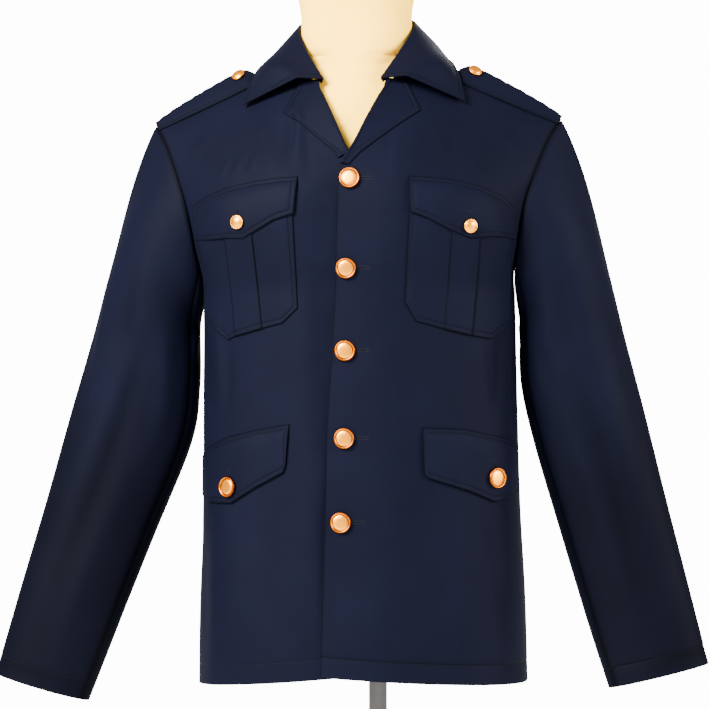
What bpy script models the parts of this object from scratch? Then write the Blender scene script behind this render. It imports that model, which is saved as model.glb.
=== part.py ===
"""A uniform shirt worn by a limbless dress form, which stands on a pole and a round base.

Metres, +Z up. The shirt's front faces -Y and the wearer's left is +X. The origin is at the
middle of the base's underside. Shirt and form are modelled in a frame of their own, whose
zero height is the side hem, and an empty sets that frame on the pole.
"""

import math

import bmesh
import bpy
import numpy as np

NAME = "uniform_shirt_on_dress_form"

# Where the shirt's frame stands, in metres and radians
HEM_HEIGHT = 0.760
FORM_OFFSET = -0.0168
FORM_LEAN = math.radians(-0.6)

# Cloth and gaps
CLOTH = 0.0016
SEAM_GAP = 0.0003
LAY_GAP = 0.0010
OVERLAP_LIFT = 0.0038
UNDERLAP_DROP = 0.0008

# Body of the shirt below the underarm, one row a height:
# height, half width, front depth, back depth
UNDERARM = 0.445
BODY = [
    (-0.010, 0.1905, 0.1320, 0.1270),
    (0.100, 0.1885, 0.1310, 0.1240),
    (0.200, 0.1840, 0.1300, 0.1200),
    (0.300, 0.1820, 0.1290, 0.1180),
    (0.400, 0.1808, 0.1285, 0.1220),
    (0.500, 0.1795, 0.1280, 0.1260),
]
FRONT_POWER = 2.35
BACK_POWER = 2.2
HEM_RISE = 0.0125

# Front and back above the underarm, one row a level from the underarm to the shoulder seam,
# after the first level, which the body gives: x, y, z on the wearer's left half
FRONT_ARMHOLE = [
    (0.1785, -0.030, 0.468),
    (0.1845, -0.049, 0.500),
    (0.1895, -0.057, 0.528),
    (0.1955, -0.058, 0.553),
    (0.2035, -0.052, 0.577),
    (0.2125, -0.040, 0.602),
    (0.2235, -0.022, 0.627),
    (0.2365, 0.000, 0.648),
]
FRONT_EDGE = [
    (-0.0150, -0.1315, 0.490),
    (-0.0125, -0.1305, 0.540),
    (-0.0095, -0.1260, 0.584),
    (0.0060, -0.1160, 0.612),
    (0.0210, -0.0990, 0.645),
    (0.0365, -0.0780, 0.676),
    (0.0560, -0.0440, 0.707),
    (0.0715, 0.0000, 0.7265),
]
BACK_ARMHOLE = [
    (0.1785, 0.032, 0.470),
    (0.1860, 0.050, 0.502),
    (0.1920, 0.058, 0.532),
    (0.1980, 0.060, 0.558),
    (0.2050, 0.055, 0.583),
    (0.2135, 0.044, 0.606),
    (0.2240, 0.026, 0.629),
    (0.2365, 0.000, 0.648),
]
CENTRE_BACK = [
    (0.0, 0.1265, 0.480),
    (0.0, 0.1275, 0.520),
    (0.0, 0.1270, 0.560),
    (0.0, 0.1240, 0.600),
    (0.0, 0.1180, 0.640),
    (0.0, 0.1090, 0.677),
    (0.0, 0.0960, 0.711),
    (0.0, 0.0810, 0.7395),
]
BACK_NECKLINE = [
    (0.0, 0.0715, 0.000, 0.7265),
    (0.4, 0.0640, 0.036, 0.7325),
    (0.7, 0.0400, 0.066, 0.7380),
    (1.0, 0.0000, 0.081, 0.7395),
]
# The shoulder seam's share of the back's top edge, how far it bows up, and how soon the
# upper rows take the shape of the top edge
SHOULDER_SHARE = 0.62
SHOULDER_BOW = 0.002
TOP_HOLD = 5
# Cloth's length from the underarm's level to the shoulder seam at its two ends
ARMHOLE_RISE = 0.27
NECK_RISE = 0.41

# Where each front ends past the middle, own side positive: height, x
LAP_EDGE_LEFT = [
    (0.000, -0.0363),
    (0.100, -0.0328),
    (0.190, -0.0298),
    (0.293, -0.0271),
    (0.380, -0.0210),
    (0.445, -0.0165),
]
LAP_EDGE_RIGHT = [(0.000, 0.0060), (0.293, -0.0040), (0.445, -0.0130)]
# Where the overlap rises and the underlap drops across a front, and where both end
LAP_RISE = (0.60, 0.82)
LAP_DROP = (0.75, 0.90)
LAP_TOP = (1.45, 1.90)
# The level above which front and back turn to the seam's own normal
SEAM_TURN = 1.85

# Soft vertical folds, one row a fold: wearer's side (1 left, -1 right, 0 back), share of the
# half girth from the middle at the top and at the foot, top, foot, half width share, height
FOLDS = [
    (-1, 0.36, 0.34, 0.665, 0.560, 0.060, 0.0035),
    (-1, 0.30, 0.14, 0.560, 0.000, 0.100, 0.0030),
    (-1, 0.07, 0.00, 0.330, -0.040, 0.050, -0.0030),
    (-1, 0.88, 0.80, 0.430, 0.280, 0.050, -0.0040),
    (-1, 0.62, 0.66, 0.250, -0.060, 0.090, 0.0040),
    (1, 0.72, 0.66, 0.400, -0.060, 0.080, 0.0030),
    (1, 0.34, 0.42, 0.300, -0.060, 0.070, -0.0030),
    (1, 0.90, 0.86, 0.400, 0.270, 0.045, -0.0035),
    (0, 0.30, 0.34, 0.420, -0.060, 0.090, 0.0045),
    (0, 0.55, 0.62, 0.460, -0.060, 0.080, -0.0050),
    (0, -0.26, -0.36, 0.400, -0.060, 0.090, 0.0045),
    (0, -0.58, -0.64, 0.470, -0.060, 0.080, -0.0045),
]

# Sleeves, one row a section from the biceps to the cuff:
# outer x, outer z, inner x, inner z, middle y, half depth
SLEEVES = {
    "left": [
        (0.2909, 0.4590, 0.1850, 0.4060, 0.012, 0.058),
        (0.3063, 0.3943, 0.1848, 0.3446, 0.014, 0.050),
        (0.3273, 0.3112, 0.1980, 0.2790, 0.014, 0.043),
        (0.3515, 0.2097, 0.2280, 0.1745, 0.008, 0.036),
        (0.3746, 0.1141, 0.2564, 0.0787, -0.002, 0.031),
        (0.3977, 0.0198, 0.2837, -0.0078, -0.012, 0.027),
    ],
    "right": [
        (0.2974, 0.4613, 0.1882, 0.4062, 0.012, 0.058),
        (0.3170, 0.3946, 0.1889, 0.3420, 0.014, 0.050),
        (0.3428, 0.3102, 0.1990, 0.2777, 0.014, 0.043),
        (0.3724, 0.2069, 0.2425, 0.1723, 0.008, 0.036),
        (0.4007, 0.1093, 0.2820, 0.0749, -0.002, 0.031),
        (0.4291, 0.0105, 0.3202, -0.0214, -0.012, 0.027),
    ],
}
# Degrees round a sleeve: the step of its columns, its two seams and half the gap at them
SLEEVE_STEP = 15
FRONT_SEAM = 150
BACK_SEAM = 240
SEAM_TURN_GAP = 0.15
# Rings of the sleeve head, and the way the cloth leaves the armhole: straight down the sleeve
# at the shoulder, outwards before and behind it, and down under the arm
HEAD_RINGS = [0.0, 0.12, 0.28, 0.46, 0.64, 0.82]
LEAVE_TOP = (0.46, 0.0, -0.888)
LEAVE_OVER = (0.865, 0.0, -0.501)
LEAVE_UNDER = (0.12, 0.0, -1.0)

# Collar, four lines from the gorge to the middle of the back, one row a station:
# station, x, y, z
COLLAR_SEAM = [
    (0.00, 0.0350, -0.0700, 0.6865),
    (0.20, 0.0545, -0.0425, 0.7100),
    (0.40, 0.0690, -0.0060, 0.7290),
    (0.60, 0.0640, 0.0330, 0.7355),
    (0.80, 0.0385, 0.0655, 0.7410),
    (1.00, 0.0000, 0.0800, 0.7425),
]
COLLAR_ROLL = [
    (0.00, 0.0340, -0.0745, 0.6925),
    (0.20, 0.0530, -0.0480, 0.7240),
    (0.40, 0.0672, -0.0090, 0.7530),
    (0.60, 0.0625, 0.0330, 0.7670),
    (0.80, 0.0370, 0.0620, 0.7740),
    (1.00, 0.0000, 0.0740, 0.7760),
]
COLLAR_FALL = [
    (0.00, 0.0621, -0.0750, 0.6930),
    (0.20, 0.0890, -0.0500, 0.7150),
    (0.40, 0.0905, -0.0100, 0.7310),
    (0.60, 0.0840, 0.0430, 0.7440),
    (0.80, 0.0510, 0.0810, 0.7490),
    (1.00, 0.0000, 0.0930, 0.7510),
]
COLLAR_EDGE = [
    (0.00, 0.1280, -0.0560, 0.6640),
    (0.20, 0.1222, -0.0340, 0.6900),
    (0.40, 0.1118, -0.0040, 0.7125),
    (0.60, 0.1035, 0.0560, 0.7110),
    (0.80, 0.0640, 0.0990, 0.7060),
    (1.00, 0.0000, 0.1110, 0.7050),
]
COLLAR_CLOTH = 0.0018
ROLL_HALF = 0.0019
COLLAR_STATIONS = 13

# Lapels, one row a line from the gorge to the break, own side positive:
# roll x, roll z, outer x, outer z
LAPELS = {
    "left": [
        (0.0332, 0.6860, 0.0597, 0.6862),
        (0.0262, 0.6700, 0.0700, 0.6700),
        (0.0190, 0.6540, 0.0781, 0.6530),
        (0.0120, 0.6380, 0.0575, 0.6378),
        (0.0055, 0.6235, 0.0313, 0.6173),
        (-0.0010, 0.6085, 0.0124, 0.6023),
        (-0.0065, 0.5900, 0.0000, 0.5885),
    ],
    "right": [
        (0.0332, 0.6860, 0.0597, 0.6862),
        (0.0262, 0.6700, 0.0700, 0.6700),
        (0.0190, 0.6540, 0.0781, 0.6530),
        (0.0120, 0.6380, 0.0555, 0.6378),
        (0.0060, 0.6235, 0.0300, 0.6165),
        (0.0020, 0.6130, 0.0170, 0.6060),
        (0.0065, 0.6010, 0.0125, 0.5980),
    ],
}
LAPEL_ROLL_LIFT = 0.0026
LAPEL_STEP = 0.016

# Pockets and flaps, one row a line across, own side positive:
# top x, top z, bottom x, bottom z, lift added
CHEST_POCKETS = {
    "right": [
        (0.0634, 0.5560, 0.0590, 0.4301, 0.0),
        (0.0770, 0.5560, 0.0771, 0.4132, 0.0),
        (0.1124, 0.5500, 0.0996, 0.4078, 0.0),
        (0.1135, 0.5500, 0.1007, 0.4075, 0.0013),
        (0.1440, 0.5440, 0.1317, 0.3997, 0.0013),
        (0.1451, 0.5440, 0.1328, 0.3994, 0.0),
        (0.1540, 0.5400, 0.1430, 0.3949, 0.0),
        (0.1775, 0.5330, 0.1690, 0.4186, 0.0),
    ],
    "left": [
        (0.0690, 0.5560, 0.0607, 0.4358, 0.0),
        (0.0790, 0.5560, 0.0736, 0.4136, 0.0),
        (0.1168, 0.5500, 0.1034, 0.4049, 0.0),
        (0.1179, 0.5500, 0.1045, 0.4046, 0.0013),
        (0.1478, 0.5440, 0.1330, 0.3975, 0.0013),
        (0.1489, 0.5440, 0.1341, 0.3972, 0.0),
        (0.1600, 0.5400, 0.1544, 0.3931, 0.0),
        (0.1795, 0.5330, 0.1724, 0.4075, 0.0),
    ],
}
CHEST_FLAPS = {
    "right": [
        (0.0571, 0.5776, 0.0615, 0.5357, 0.0),
        (0.0840, 0.5764, 0.0850, 0.5285, 0.0),
        (0.1075, 0.5738, 0.1080, 0.5158, 0.0),
        (0.1200, 0.5712, 0.1198, 0.5094, 0.0),
        (0.1390, 0.5676, 0.1395, 0.5104, 0.0),
        (0.1690, 0.5568, 0.1690, 0.5088, 0.0),
        (0.1832, 0.5480, 0.1800, 0.5095, 0.0),
    ],
    "left": [
        (0.0665, 0.5760, 0.0682, 0.5358, 0.0),
        (0.0900, 0.5750, 0.0881, 0.5286, 0.0),
        (0.1120, 0.5726, 0.1124, 0.5155, 0.0),
        (0.1290, 0.5690, 0.1340, 0.5067, 0.0),
        (0.1458, 0.5650, 0.1600, 0.5093, 0.0),
        (0.1672, 0.5553, 0.1730, 0.5078, 0.0),
        (0.1835, 0.5417, 0.1825, 0.5055, 0.0),
    ],
}
# The lower flaps' x is the distance from the middle along the cloth
LOWER_FLAPS = {
    "right": [
        (0.0697, 0.3000, 0.0737, 0.2550, 0.0),
        (0.0772, 0.2992, 0.0772, 0.2457, 0.0),
        (0.1130, 0.2935, 0.1090, 0.2300, 0.0),
        (0.1500, 0.2858, 0.1435, 0.2104, 0.0),
        (0.1975, 0.2710, 0.1900, 0.2106, 0.0),
        (0.2240, 0.2620, 0.2220, 0.2180, 0.0),
    ],
    "left": [
        (0.0793, 0.2950, 0.0802, 0.2428, 0.0),
        (0.0870, 0.2948, 0.0847, 0.2382, 0.0),
        (0.1300, 0.2924, 0.1330, 0.2224, 0.0),
        (0.1600, 0.2858, 0.1650, 0.2097, 0.0),
        (0.2060, 0.2784, 0.2020, 0.2135, 0.0),
        (0.2320, 0.2725, 0.2330, 0.2190, 0.0),
    ],
}
FLAP_RISE = 0.0042
PATCH_STEP = 0.013

# Shoulder straps, one row a line from the armhole to the point:
# share of the shoulder seam, half width, lift of the crown, how far it lies ahead of the
# seam and how much its rear side stands off the shoulder
EPAULETTE = [
    (0.004, 0.0200, 0.0006, -0.0060, 0.00),
    (0.060, 0.0205, 0.0022, -0.0045, 0.00),
    (0.150, 0.0206, 0.0036, -0.0020, 0.03),
    (0.330, 0.0204, 0.0046, 0.0030, 0.08),
    (0.500, 0.0200, 0.0046, 0.0080, 0.15),
    (0.640, 0.0190, 0.0040, 0.0110, 0.20),
    (0.680, 0.0120, 0.0036, 0.0115, 0.20),
    (0.705, 0.0035, 0.0034, 0.0120, 0.20),
]
EPAULETTE_CLEAR = 0.0010
EPAULETTE_BUTTON = 0.610

# Buttons: diameter, height and places; the front ones as x, z on the overlapping front
FRONT_BUTTONS = [
    (0.0012, 0.5742),
    (-0.0038, 0.4746),
    (-0.0061, 0.3821),
    (-0.0079, 0.2839),
    (-0.0127, 0.1898),
]
BIG_BUTTON = (0.0235, 0.0042)
SMALL_BUTTON = (0.0158, 0.0046)
CHEST_BUTTONS = {"left": (0.1328, 0.5205), "right": (0.1246, 0.5278)}
LOWER_BUTTONS = {"left": (0.1670, 0.2366), "right": (0.1468, 0.2290)}
BUTTON_GAP = 0.0005

# Dress form, one row a ring: height, half width, front depth, back depth, power
FORM = [
    (0.060, 0.1480, 0.0980, 0.0980, 2.2),
    (0.066, 0.1540, 0.1020, 0.1020, 2.2),
    (0.140, 0.1600, 0.1060, 0.1060, 2.2),
    (0.220, 0.1570, 0.1060, 0.1030, 2.2),
    (0.300, 0.1500, 0.1040, 0.0970, 2.2),
    (0.380, 0.1540, 0.1070, 0.0990, 2.2),
    (0.450, 0.1610, 0.1110, 0.1060, 2.2),
    (0.510, 0.1660, 0.1110, 0.1100, 2.15),
    (0.560, 0.1740, 0.1060, 0.1080, 2.0),
    (0.600, 0.1880, 0.0980, 0.1040, 1.8),
    (0.630, 0.2020, 0.0900, 0.0970, 1.5),
    (0.648, 0.2080, 0.0840, 0.0900, 1.22),
    (0.660, 0.2074, 0.0790, 0.0850, 1.08),
    (0.672, 0.1832, 0.0740, 0.0790, 1.00),
    (0.685, 0.1566, 0.0690, 0.0730, 0.94),
    (0.700, 0.1243, 0.0650, 0.0680, 0.90),
    (0.711, 0.0960, 0.0610, 0.0630, 0.88),
    (0.721, 0.0700, 0.0590, 0.0620, 1.15),
    (0.731, 0.0655, 0.0570, 0.0620, 1.8),
    (0.745, 0.0645, 0.0560, 0.0610, 2.0),
    (0.765, 0.0640, 0.0560, 0.0600, 2.0),
    (0.826, 0.0640, 0.0570, 0.0590, 2.0),
    (0.832, 0.0600, 0.0530, 0.0550, 2.0),
]
FORM_SIDES = 28

# Stand
POLE_RADIUS = 0.0105
BASE_RADIUS = 0.170
BASE_EDGE = 0.010
BASE_TOP = 0.020
BOSS_RADIUS = 0.026
BOSS_TOP = 0.048
POLE_SIDES = 24
BASE_SIDES = 40
BUTTON_SIDES = 18

NAVY = (0.013, 0.016, 0.045, 1.0)
CREAM = (0.86, 0.76, 0.58, 1.0)
GOLD = (0.80, 0.52, 0.16, 1.0)
CHROME = (0.62, 0.62, 0.63, 1.0)
SIDES = {"left": 1.0, "right": -1.0}


def smooth(table, at):
    """Rows of a table at the given values of its first column, on a smooth curve."""
    rows = np.array(table, dtype=float)
    keys, values = rows[:, 0], rows[:, 1:]
    slopes = np.gradient(values, keys, axis=0)
    at = np.clip(np.asarray(at, dtype=float), keys[0], keys[-1])
    low = np.clip(np.searchsorted(keys, at, side="right") - 1, 0, len(keys) - 2)
    span = keys[low + 1] - keys[low]
    t = ((at - keys[low]) / span)[..., None]
    span = span[..., None]
    return (
        (1 + 2 * t) * (1 - t) ** 2 * values[low]
        + t * (1 - t) ** 2 * span * slopes[low]
        + t**2 * (3 - 2 * t) * values[low + 1]
        + t**2 * (t - 1) * span * slopes[low + 1]
    )


def ease(t):
    t = np.clip(t, 0.0, 1.0)
    return t * t * (3 - 2 * t)


def ramp(value, span):
    """0 before a span, 1 after it, and an eased rise between."""
    return ease((value - span[0]) / (span[1] - span[0]))


def unit(vectors):
    return vectors / np.maximum(np.linalg.norm(vectors, axis=-1, keepdims=True), 1e-12)


def levels(first, rows):
    """A table of evenly spaced levels from a first point and the rows that follow it."""
    points = [tuple(first), *rows]
    return [(i / (len(points) - 1), *p) for i, p in enumerate(points)]


def girth_table(power):
    """Shares of a half front's or back's girth against the section's angle."""
    angle = np.linspace(0.0, math.pi / 2, 181)
    half, depth = BODY[3][1], BODY[3][2]
    x = half * np.sin(angle) ** (2 / power)
    y = depth * np.cos(angle) ** (2 / power)
    length = np.concatenate([[0.0], np.cumsum(np.hypot(np.diff(x), np.diff(y)))])
    return length / length[-1], angle, length[-1]


FRONT_SHARES, FRONT_ANGLES, HALF_GIRTH = girth_table(FRONT_POWER)
BACK_SHARES, BACK_ANGLES, _ = girth_table(BACK_POWER)


def folds(w, z, side):
    """How far the cloth stands out of its plain section at a share of girth and a height."""
    out = np.zeros(np.broadcast(w, z).shape)
    for fold_side, w_top, w_foot, top, foot, width, height in FOLDS:
        if fold_side != side:
            continue
        down = (top - z) / (top - foot)
        middle = w_top + (w_foot - w_top) * down
        along = ease(down * 3.0) * ease((1.0 - down) * 3.0)
        out = out + height * along * np.exp(-(((w - middle) / width) ** 2))
    return out


def body(w, z, side):
    """The shirt below the underarm. w is 0 at the middle and 1 at the side seam."""
    row = smooth(BODY, z)
    half = row[..., 0]
    if side == 0:
        depth, power = row[..., 2], BACK_POWER
        angle = np.interp(np.abs(w), BACK_SHARES, BACK_ANGLES)
    else:
        depth, power = -row[..., 1], FRONT_POWER
        angle = np.interp(np.abs(w), FRONT_SHARES, FRONT_ANGLES)
    across = np.sin(angle) ** (2 / power)
    deep = np.maximum(np.cos(angle), 0.0) ** (2 / power)
    outward = unit(np.stack([across ** (power - 1) / half, deep ** (power - 1) / depth], -1))
    out = folds(w, z, side)
    x = half * across + out * outward[..., 0]
    y = depth * deep + out * outward[..., 1]
    return np.stack([np.sign(w) * x, y, z], -1)


def shoulder_seam(q):
    """The shoulder seam from the armhole, q 0, to the neck, q 1."""
    q = np.asarray(q, dtype=float)[..., None]
    start, end = np.array(FRONT_ARMHOLE[-1]), np.array(FRONT_EDGE[-1])
    bow = np.array([0.0, 0.0, SHOULDER_BOW]) * 4 * q * (1 - q)
    return start + (end - start) * q + bow


def coons(u, t, left, right, bottom, top):
    """A patch between its armhole side, its inner side, its lower row and its upper row."""
    u1, a1 = u[..., None], ease(t)[..., None]
    plain = (1 - u1) * smooth(left, t) + u1 * smooth(right, t)
    low = bottom(u) - (1 - u1) * bottom(np.zeros_like(u)) - u1 * bottom(np.ones_like(u))
    high = top(u) - (1 - u1) * top(np.zeros_like(u)) - u1 * top(np.ones_like(u))
    return plain + (1 - a1) * low + t[..., None] ** TOP_HOLD * high


def edge_share(side, z):
    table = LAP_EDGE_LEFT if side > 0 else LAP_EDGE_RIGHT
    return smooth(table, z)[..., 0] / HALF_GIRTH


def front(side, u, v):
    """A front. u is 0 at side seam and armhole, 1 at the edge; v is 0 at the hem, 1 at the
    underarm and 2 at the shoulder seam. Own side positive, so x is mirrored by the caller."""
    u, v = np.broadcast_arrays(np.asarray(u, float), np.asarray(v, float))

    def row(share, z):
        w = (1 - share) + share * edge_share(side, z)
        return body(w, z, side)

    def underarm_row(share):
        return row(share, np.full_like(share, UNDERARM))

    hem = HEM_RISE * np.clip(u, 0.0, 1.0) ** 1.5
    low = row(u, hem + (UNDERARM - hem) * np.minimum(v, 1.0))
    corner = underarm_row(np.array([0.0, 1.0]))
    high = coons(
        u,
        np.clip(v - 1.0, 0.0, 1.0),
        levels(corner[0], FRONT_ARMHOLE),
        levels(corner[1], FRONT_EDGE),
        underarm_row,
        shoulder_seam,
    )
    share = (1 - u) + u * edge_share(side, UNDERARM)
    crease = folds(share, high[..., 2], side) * ease(v - 1.0)
    high = high + crease[..., None] * np.array([0.0, -1.0, 0.0])
    return np.where((v <= 1.0)[..., None], low, high)


def back(side, u, v):
    """Half of the back. u is 0 at side seam and armhole, 1 at the middle of the back."""
    u, v = np.broadcast_arrays(np.asarray(u, float), np.asarray(v, float))

    def underarm_row(share):
        return mirrored(body((1 - share) * side, np.full_like(share, UNDERARM), 0), side)

    def top(share):
        neck = smooth(BACK_NECKLINE, (share - SHOULDER_SHARE) / (1 - SHOULDER_SHARE))
        seam = shoulder_seam(np.minimum(share / SHOULDER_SHARE, 1.0))
        return np.where((share <= SHOULDER_SHARE)[..., None], seam, neck)

    low = mirrored(body((1 - u) * side, UNDERARM * np.minimum(v, 1.0), 0), side)
    corner = underarm_row(np.array([0.0, 1.0]))
    high = coons(
        u,
        np.clip(v - 1.0, 0.0, 1.0),
        levels(corner[0], BACK_ARMHOLE),
        levels(corner[1], CENTRE_BACK),
        underarm_row,
        top,
    )
    return np.where((v <= 1.0)[..., None], low, high)


def mirrored(points, side):
    return points * np.array([side, 1.0, 1.0])


def seam_normal():
    """The direction in which the shoulder seam faces, shared by front and back."""
    along = unit(shoulder_seam(0.0) - shoulder_seam(1.0))
    return unit(np.cross(along, np.array([0.0, 1.0, 0.0])))


def panel_normal(surface, side, u, v):
    """Outward normals of a front or a back, level with each other at the shoulder seam."""
    step = 1e-4
    across = surface(side, u + step, v) - surface(side, u - step, v)
    up = surface(side, u, v + step) - surface(side, u, v - step)
    normal = unit(np.cross(up, across))
    here = surface(side, u, v)
    chest = np.array([0.0, 0.0, UNDERARM])
    from_chest = (here - chest) * np.where(here[..., 2:] > UNDERARM, 1.0, [1.0, 1.0, 0.0])
    normal = normal * np.sign(np.sum(normal * from_chest, axis=-1, keepdims=True))
    weight = ramp(np.asarray(v), (SEAM_TURN, 2.0))[..., None]
    return unit(normal * (1 - weight) + seam_normal() * weight)


def on_panel(surface, side, u, v, out):
    """A panel's points moved out along its normals, in the shirt's frame."""
    u, v = np.broadcast_arrays(np.asarray(u, float), np.asarray(v, float))
    out = np.broadcast_to(np.asarray(out, float), u.shape)
    points = surface(side, u, v) + out[..., None] * panel_normal(surface, side, u, v)
    return mirrored(points, side)


def lap_lift(side, u, v):
    """The wearer's left front lies over the right one near its edge."""
    below_neck = 1 - ramp(v, LAP_TOP)
    if side < 0:
        return -UNDERLAP_DROP * ramp(u, LAP_DROP) * below_neck
    return OVERLAP_LIFT * ramp(u, LAP_RISE) * below_neck


def spot(side, x, z):
    """The u and v of a front where it is seen at x and z from straight ahead."""
    x, z = np.broadcast_arrays(np.asarray(x, float), np.asarray(z, float))
    u, v = np.full(x.shape, 0.6), np.clip(z / UNDERARM, 0.05, 1.4)
    step = 1e-4
    for _ in range(30):
        here = front(side, u, v)
        by_u = (front(side, u + step, v) - here) / step
        by_v = (front(side, u, v + step) - here) / step
        off_x, off_z = x - here[..., 0], z - here[..., 2]
        det = by_u[..., 0] * by_v[..., 2] - by_v[..., 0] * by_u[..., 2]
        du = (off_x * by_v[..., 2] - off_z * by_v[..., 0]) / det
        dv = (off_z * by_u[..., 0] - off_x * by_u[..., 2]) / det
        u = np.clip(u + np.clip(du, -0.15, 0.15), -0.05, 1.2)
        v = np.clip(v + np.clip(dv, -0.15, 0.15), 0.0, 1.999)
    return u, v


def skirt_spot(side, across, z):
    """The u and v of a front at a distance from the middle along the cloth and a height."""
    w = np.asarray(across) / HALF_GIRTH
    u = (1 - w) / (1 - edge_share(side, z))
    hem = HEM_RISE * np.clip(u, 0.0, 1.0) ** 1.5
    return u, (z - hem) / (UNDERARM - hem)


def grid_normals(points):
    """Normals of a grid of points, from its neighbours."""
    return unit(np.cross(np.gradient(points, axis=1), np.gradient(points, axis=0)))


# Blender objects

def material(name, colour, metallic, roughness):
    made = bpy.data.materials.get(name)
    if made:
        return made
    made = bpy.data.materials.new(name)
    made.use_nodes = True
    made.diffuse_color = colour
    shader = made.node_tree.nodes["Principled BSDF"]
    shader.inputs["Base Color"].default_value = colour
    shader.inputs["Metallic"].default_value = metallic
    shader.inputs["Roughness"].default_value = roughness
    return made


def add_object(name, mesh, finish, parent):
    made = bpy.data.objects.new(name, mesh)
    bpy.data.collections[NAME].objects.link(made)
    made.parent = parent
    mesh.materials.append(finish)
    return made


def add_wall(name, outer, inner, finish, parent, closed=False):
    """A closed wall between two skins of the same grid, as a loft with a rim."""
    rows, columns = outer.shape[:2]
    bm = bmesh.new()
    skins = [[[bm.verts.new(p) for p in row] for row in skin] for skin in (outer, inner)]
    last = columns if closed else columns - 1
    for r in range(rows - 1):
        for c in range(last):
            n = (c + 1) % columns
            a, b = skins
            bm.faces.new((a[r][c], a[r][n], a[r + 1][n], a[r + 1][c]))
            bm.faces.new((b[r][c], b[r + 1][c], b[r + 1][n], b[r][n]))
    edges = [[(r, c) for c in range(columns)] for r in (0, rows - 1)]
    if not closed:
        edges += [[(r, c) for r in range(rows)] for c in (0, columns - 1)]
    for line in edges:
        pairs = list(zip(line, line[1:]))
        if closed:
            pairs.append((line[-1], line[0]))
        for (r, c), (s, d) in pairs:
            corners = (skins[0][r][c], skins[0][s][d], skins[1][s][d], skins[1][r][c])
            bm.faces.new(corners)
    bmesh.ops.recalc_face_normals(bm, faces=bm.faces)
    mesh = bpy.data.meshes.new(name)
    bm.to_mesh(mesh)
    bm.free()
    mesh.shade_smooth()
    mesh.set_sharp_from_angle(angle=math.radians(40))
    return add_object(name, mesh, finish, parent)


def add_turned(name, profile, steps, finish, parent):
    """A turned solid: a profile of radius and height, from its top down its outer side."""
    bm = bmesh.new()
    verts = [bm.verts.new((r, 0.0, z)) for r, z in profile]
    for a, b in zip(verts, verts[1:]):
        bm.edges.new((a, b))
    mesh = bpy.data.meshes.new(name)
    bm.to_mesh(mesh)
    bm.free()
    made = add_object(name, mesh, finish, parent)
    screw = made.modifiers.new("turn", "SCREW")
    screw.steps = screw.render_steps = steps
    screw.use_merge_vertices = True
    screw.merge_threshold = 0.00001
    screw.use_smooth_shade = True
    return made


def between(start, end, count):
    return np.linspace(start, end, count)


ROWS_LOW = 9
ROWS_HIGH = 180 // SLEEVE_STEP
SEAM_TRIM = SEAM_GAP / 2


def panel_rows():
    """The v of each row of a front or a back, the same for both so their seams match."""
    low = between(0.0, 1.0, ROWS_LOW + 1)[:-1]
    high = between(1.0, 2.0, ROWS_HIGH + 1)
    high[-1] -= SEAM_TRIM / ARMHOLE_RISE
    return np.concatenate([low, high])


def front_panel(key, finish, parent):
    side = SIDES[key]
    u = between(0.0, 1.0, 12)
    u[0] += SEAM_TRIM / HALF_GIRTH
    u, v = np.meshgrid(u, panel_rows())
    lift = lap_lift(side, u, v)
    outer = on_panel(front, side, u, v, lift)
    inner = on_panel(front, side, u, v, lift - CLOTH)
    return add_wall(f"front_{key}", outer, inner, finish, parent)


def back_panel(finish, parent):
    seam = between(0.0, SHOULDER_SHARE, 8)
    seam[0] += SEAM_TRIM / HALF_GIRTH
    half = np.concatenate([seam, between(SHOULDER_SHARE, 1.0, 5)[1:]])
    u, v = np.meshgrid(half, panel_rows())
    skins = []
    for out in (0.0, -CLOTH):
        left = on_panel(back, 1.0, u, v, out)
        right = on_panel(back, -1.0, u[:, :-1], v[:, :-1], out)
        skins.append(np.concatenate([left, right[:, ::-1]], axis=1))
    return add_wall("back", skins[0], skins[1], finish, parent)


def armhole(side, phi):
    """Armhole points and panel normals. phi is 0 at the shoulder, 180 at the underarm."""
    phi = np.asarray(phi, float) % 360.0
    ahead = phi <= 180.0
    v_front = 2.0 - np.minimum(phi, 180.0) / 180.0
    v_back = 1.0 + np.maximum(phi - 180.0, 0.0) / 180.0
    zero = np.zeros_like(phi)
    points = np.where(ahead[:, None], front(side, zero, v_front), back(side, zero, v_back))
    normals = np.where(
        ahead[:, None],
        panel_normal(front, side, zero, v_front),
        panel_normal(back, side, zero, v_back),
    )
    return points, normals


def sleeve(key, phi, t):
    """A sleeve's points: t is 0 at the armhole and 1 to 6 at the sections of its table."""
    rows = [(i + 1, *row) for i, row in enumerate(SLEEVES[key])]
    angle = np.radians(phi)

    def ring(at):
        x1, z1, x2, z2, y, deep = smooth(rows, at)
        centre = np.array([(x1 + x2) / 2, y, (z1 + z2) / 2])
        reach = np.array([(x1 - x2) / 2, 0.0, (z1 - z2) / 2])
        return (
            centre
            + np.cos(angle)[:, None] * reach
            + np.sin(angle)[:, None] * np.array([0.0, -deep, 0.0])
        )

    if t >= 1.0:
        return ring(t)
    start, _ = armhole(SIDES[key], phi)
    end = ring(1.0)
    under = ((1 - np.cos(angle)) / 2)[:, None]
    over = (np.maximum(np.cos(angle), 0.0) ** 2)[:, None]
    leave = np.array(LEAVE_OVER) * (1 - under - over) + np.array(LEAVE_UNDER) * under
    leave = leave + np.array(LEAVE_TOP) * over
    length = np.linalg.norm(end - start, axis=1, keepdims=True)
    start = start + leave * SEAM_GAP + under**4 * np.array([SEAM_GAP * 2, 0.0, 0.0])
    arrive = (ring(1.05) - ring(1.0)) / 0.05
    leave, arrive = leave * length, unit(arrive) * length
    return (
        (1 + 2 * t) * (1 - t) ** 2 * start
        + t * (1 - t) ** 2 * leave
        + t**2 * (3 - 2 * t) * end
        + t**2 * (t - 1) * arrive
    )


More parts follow.
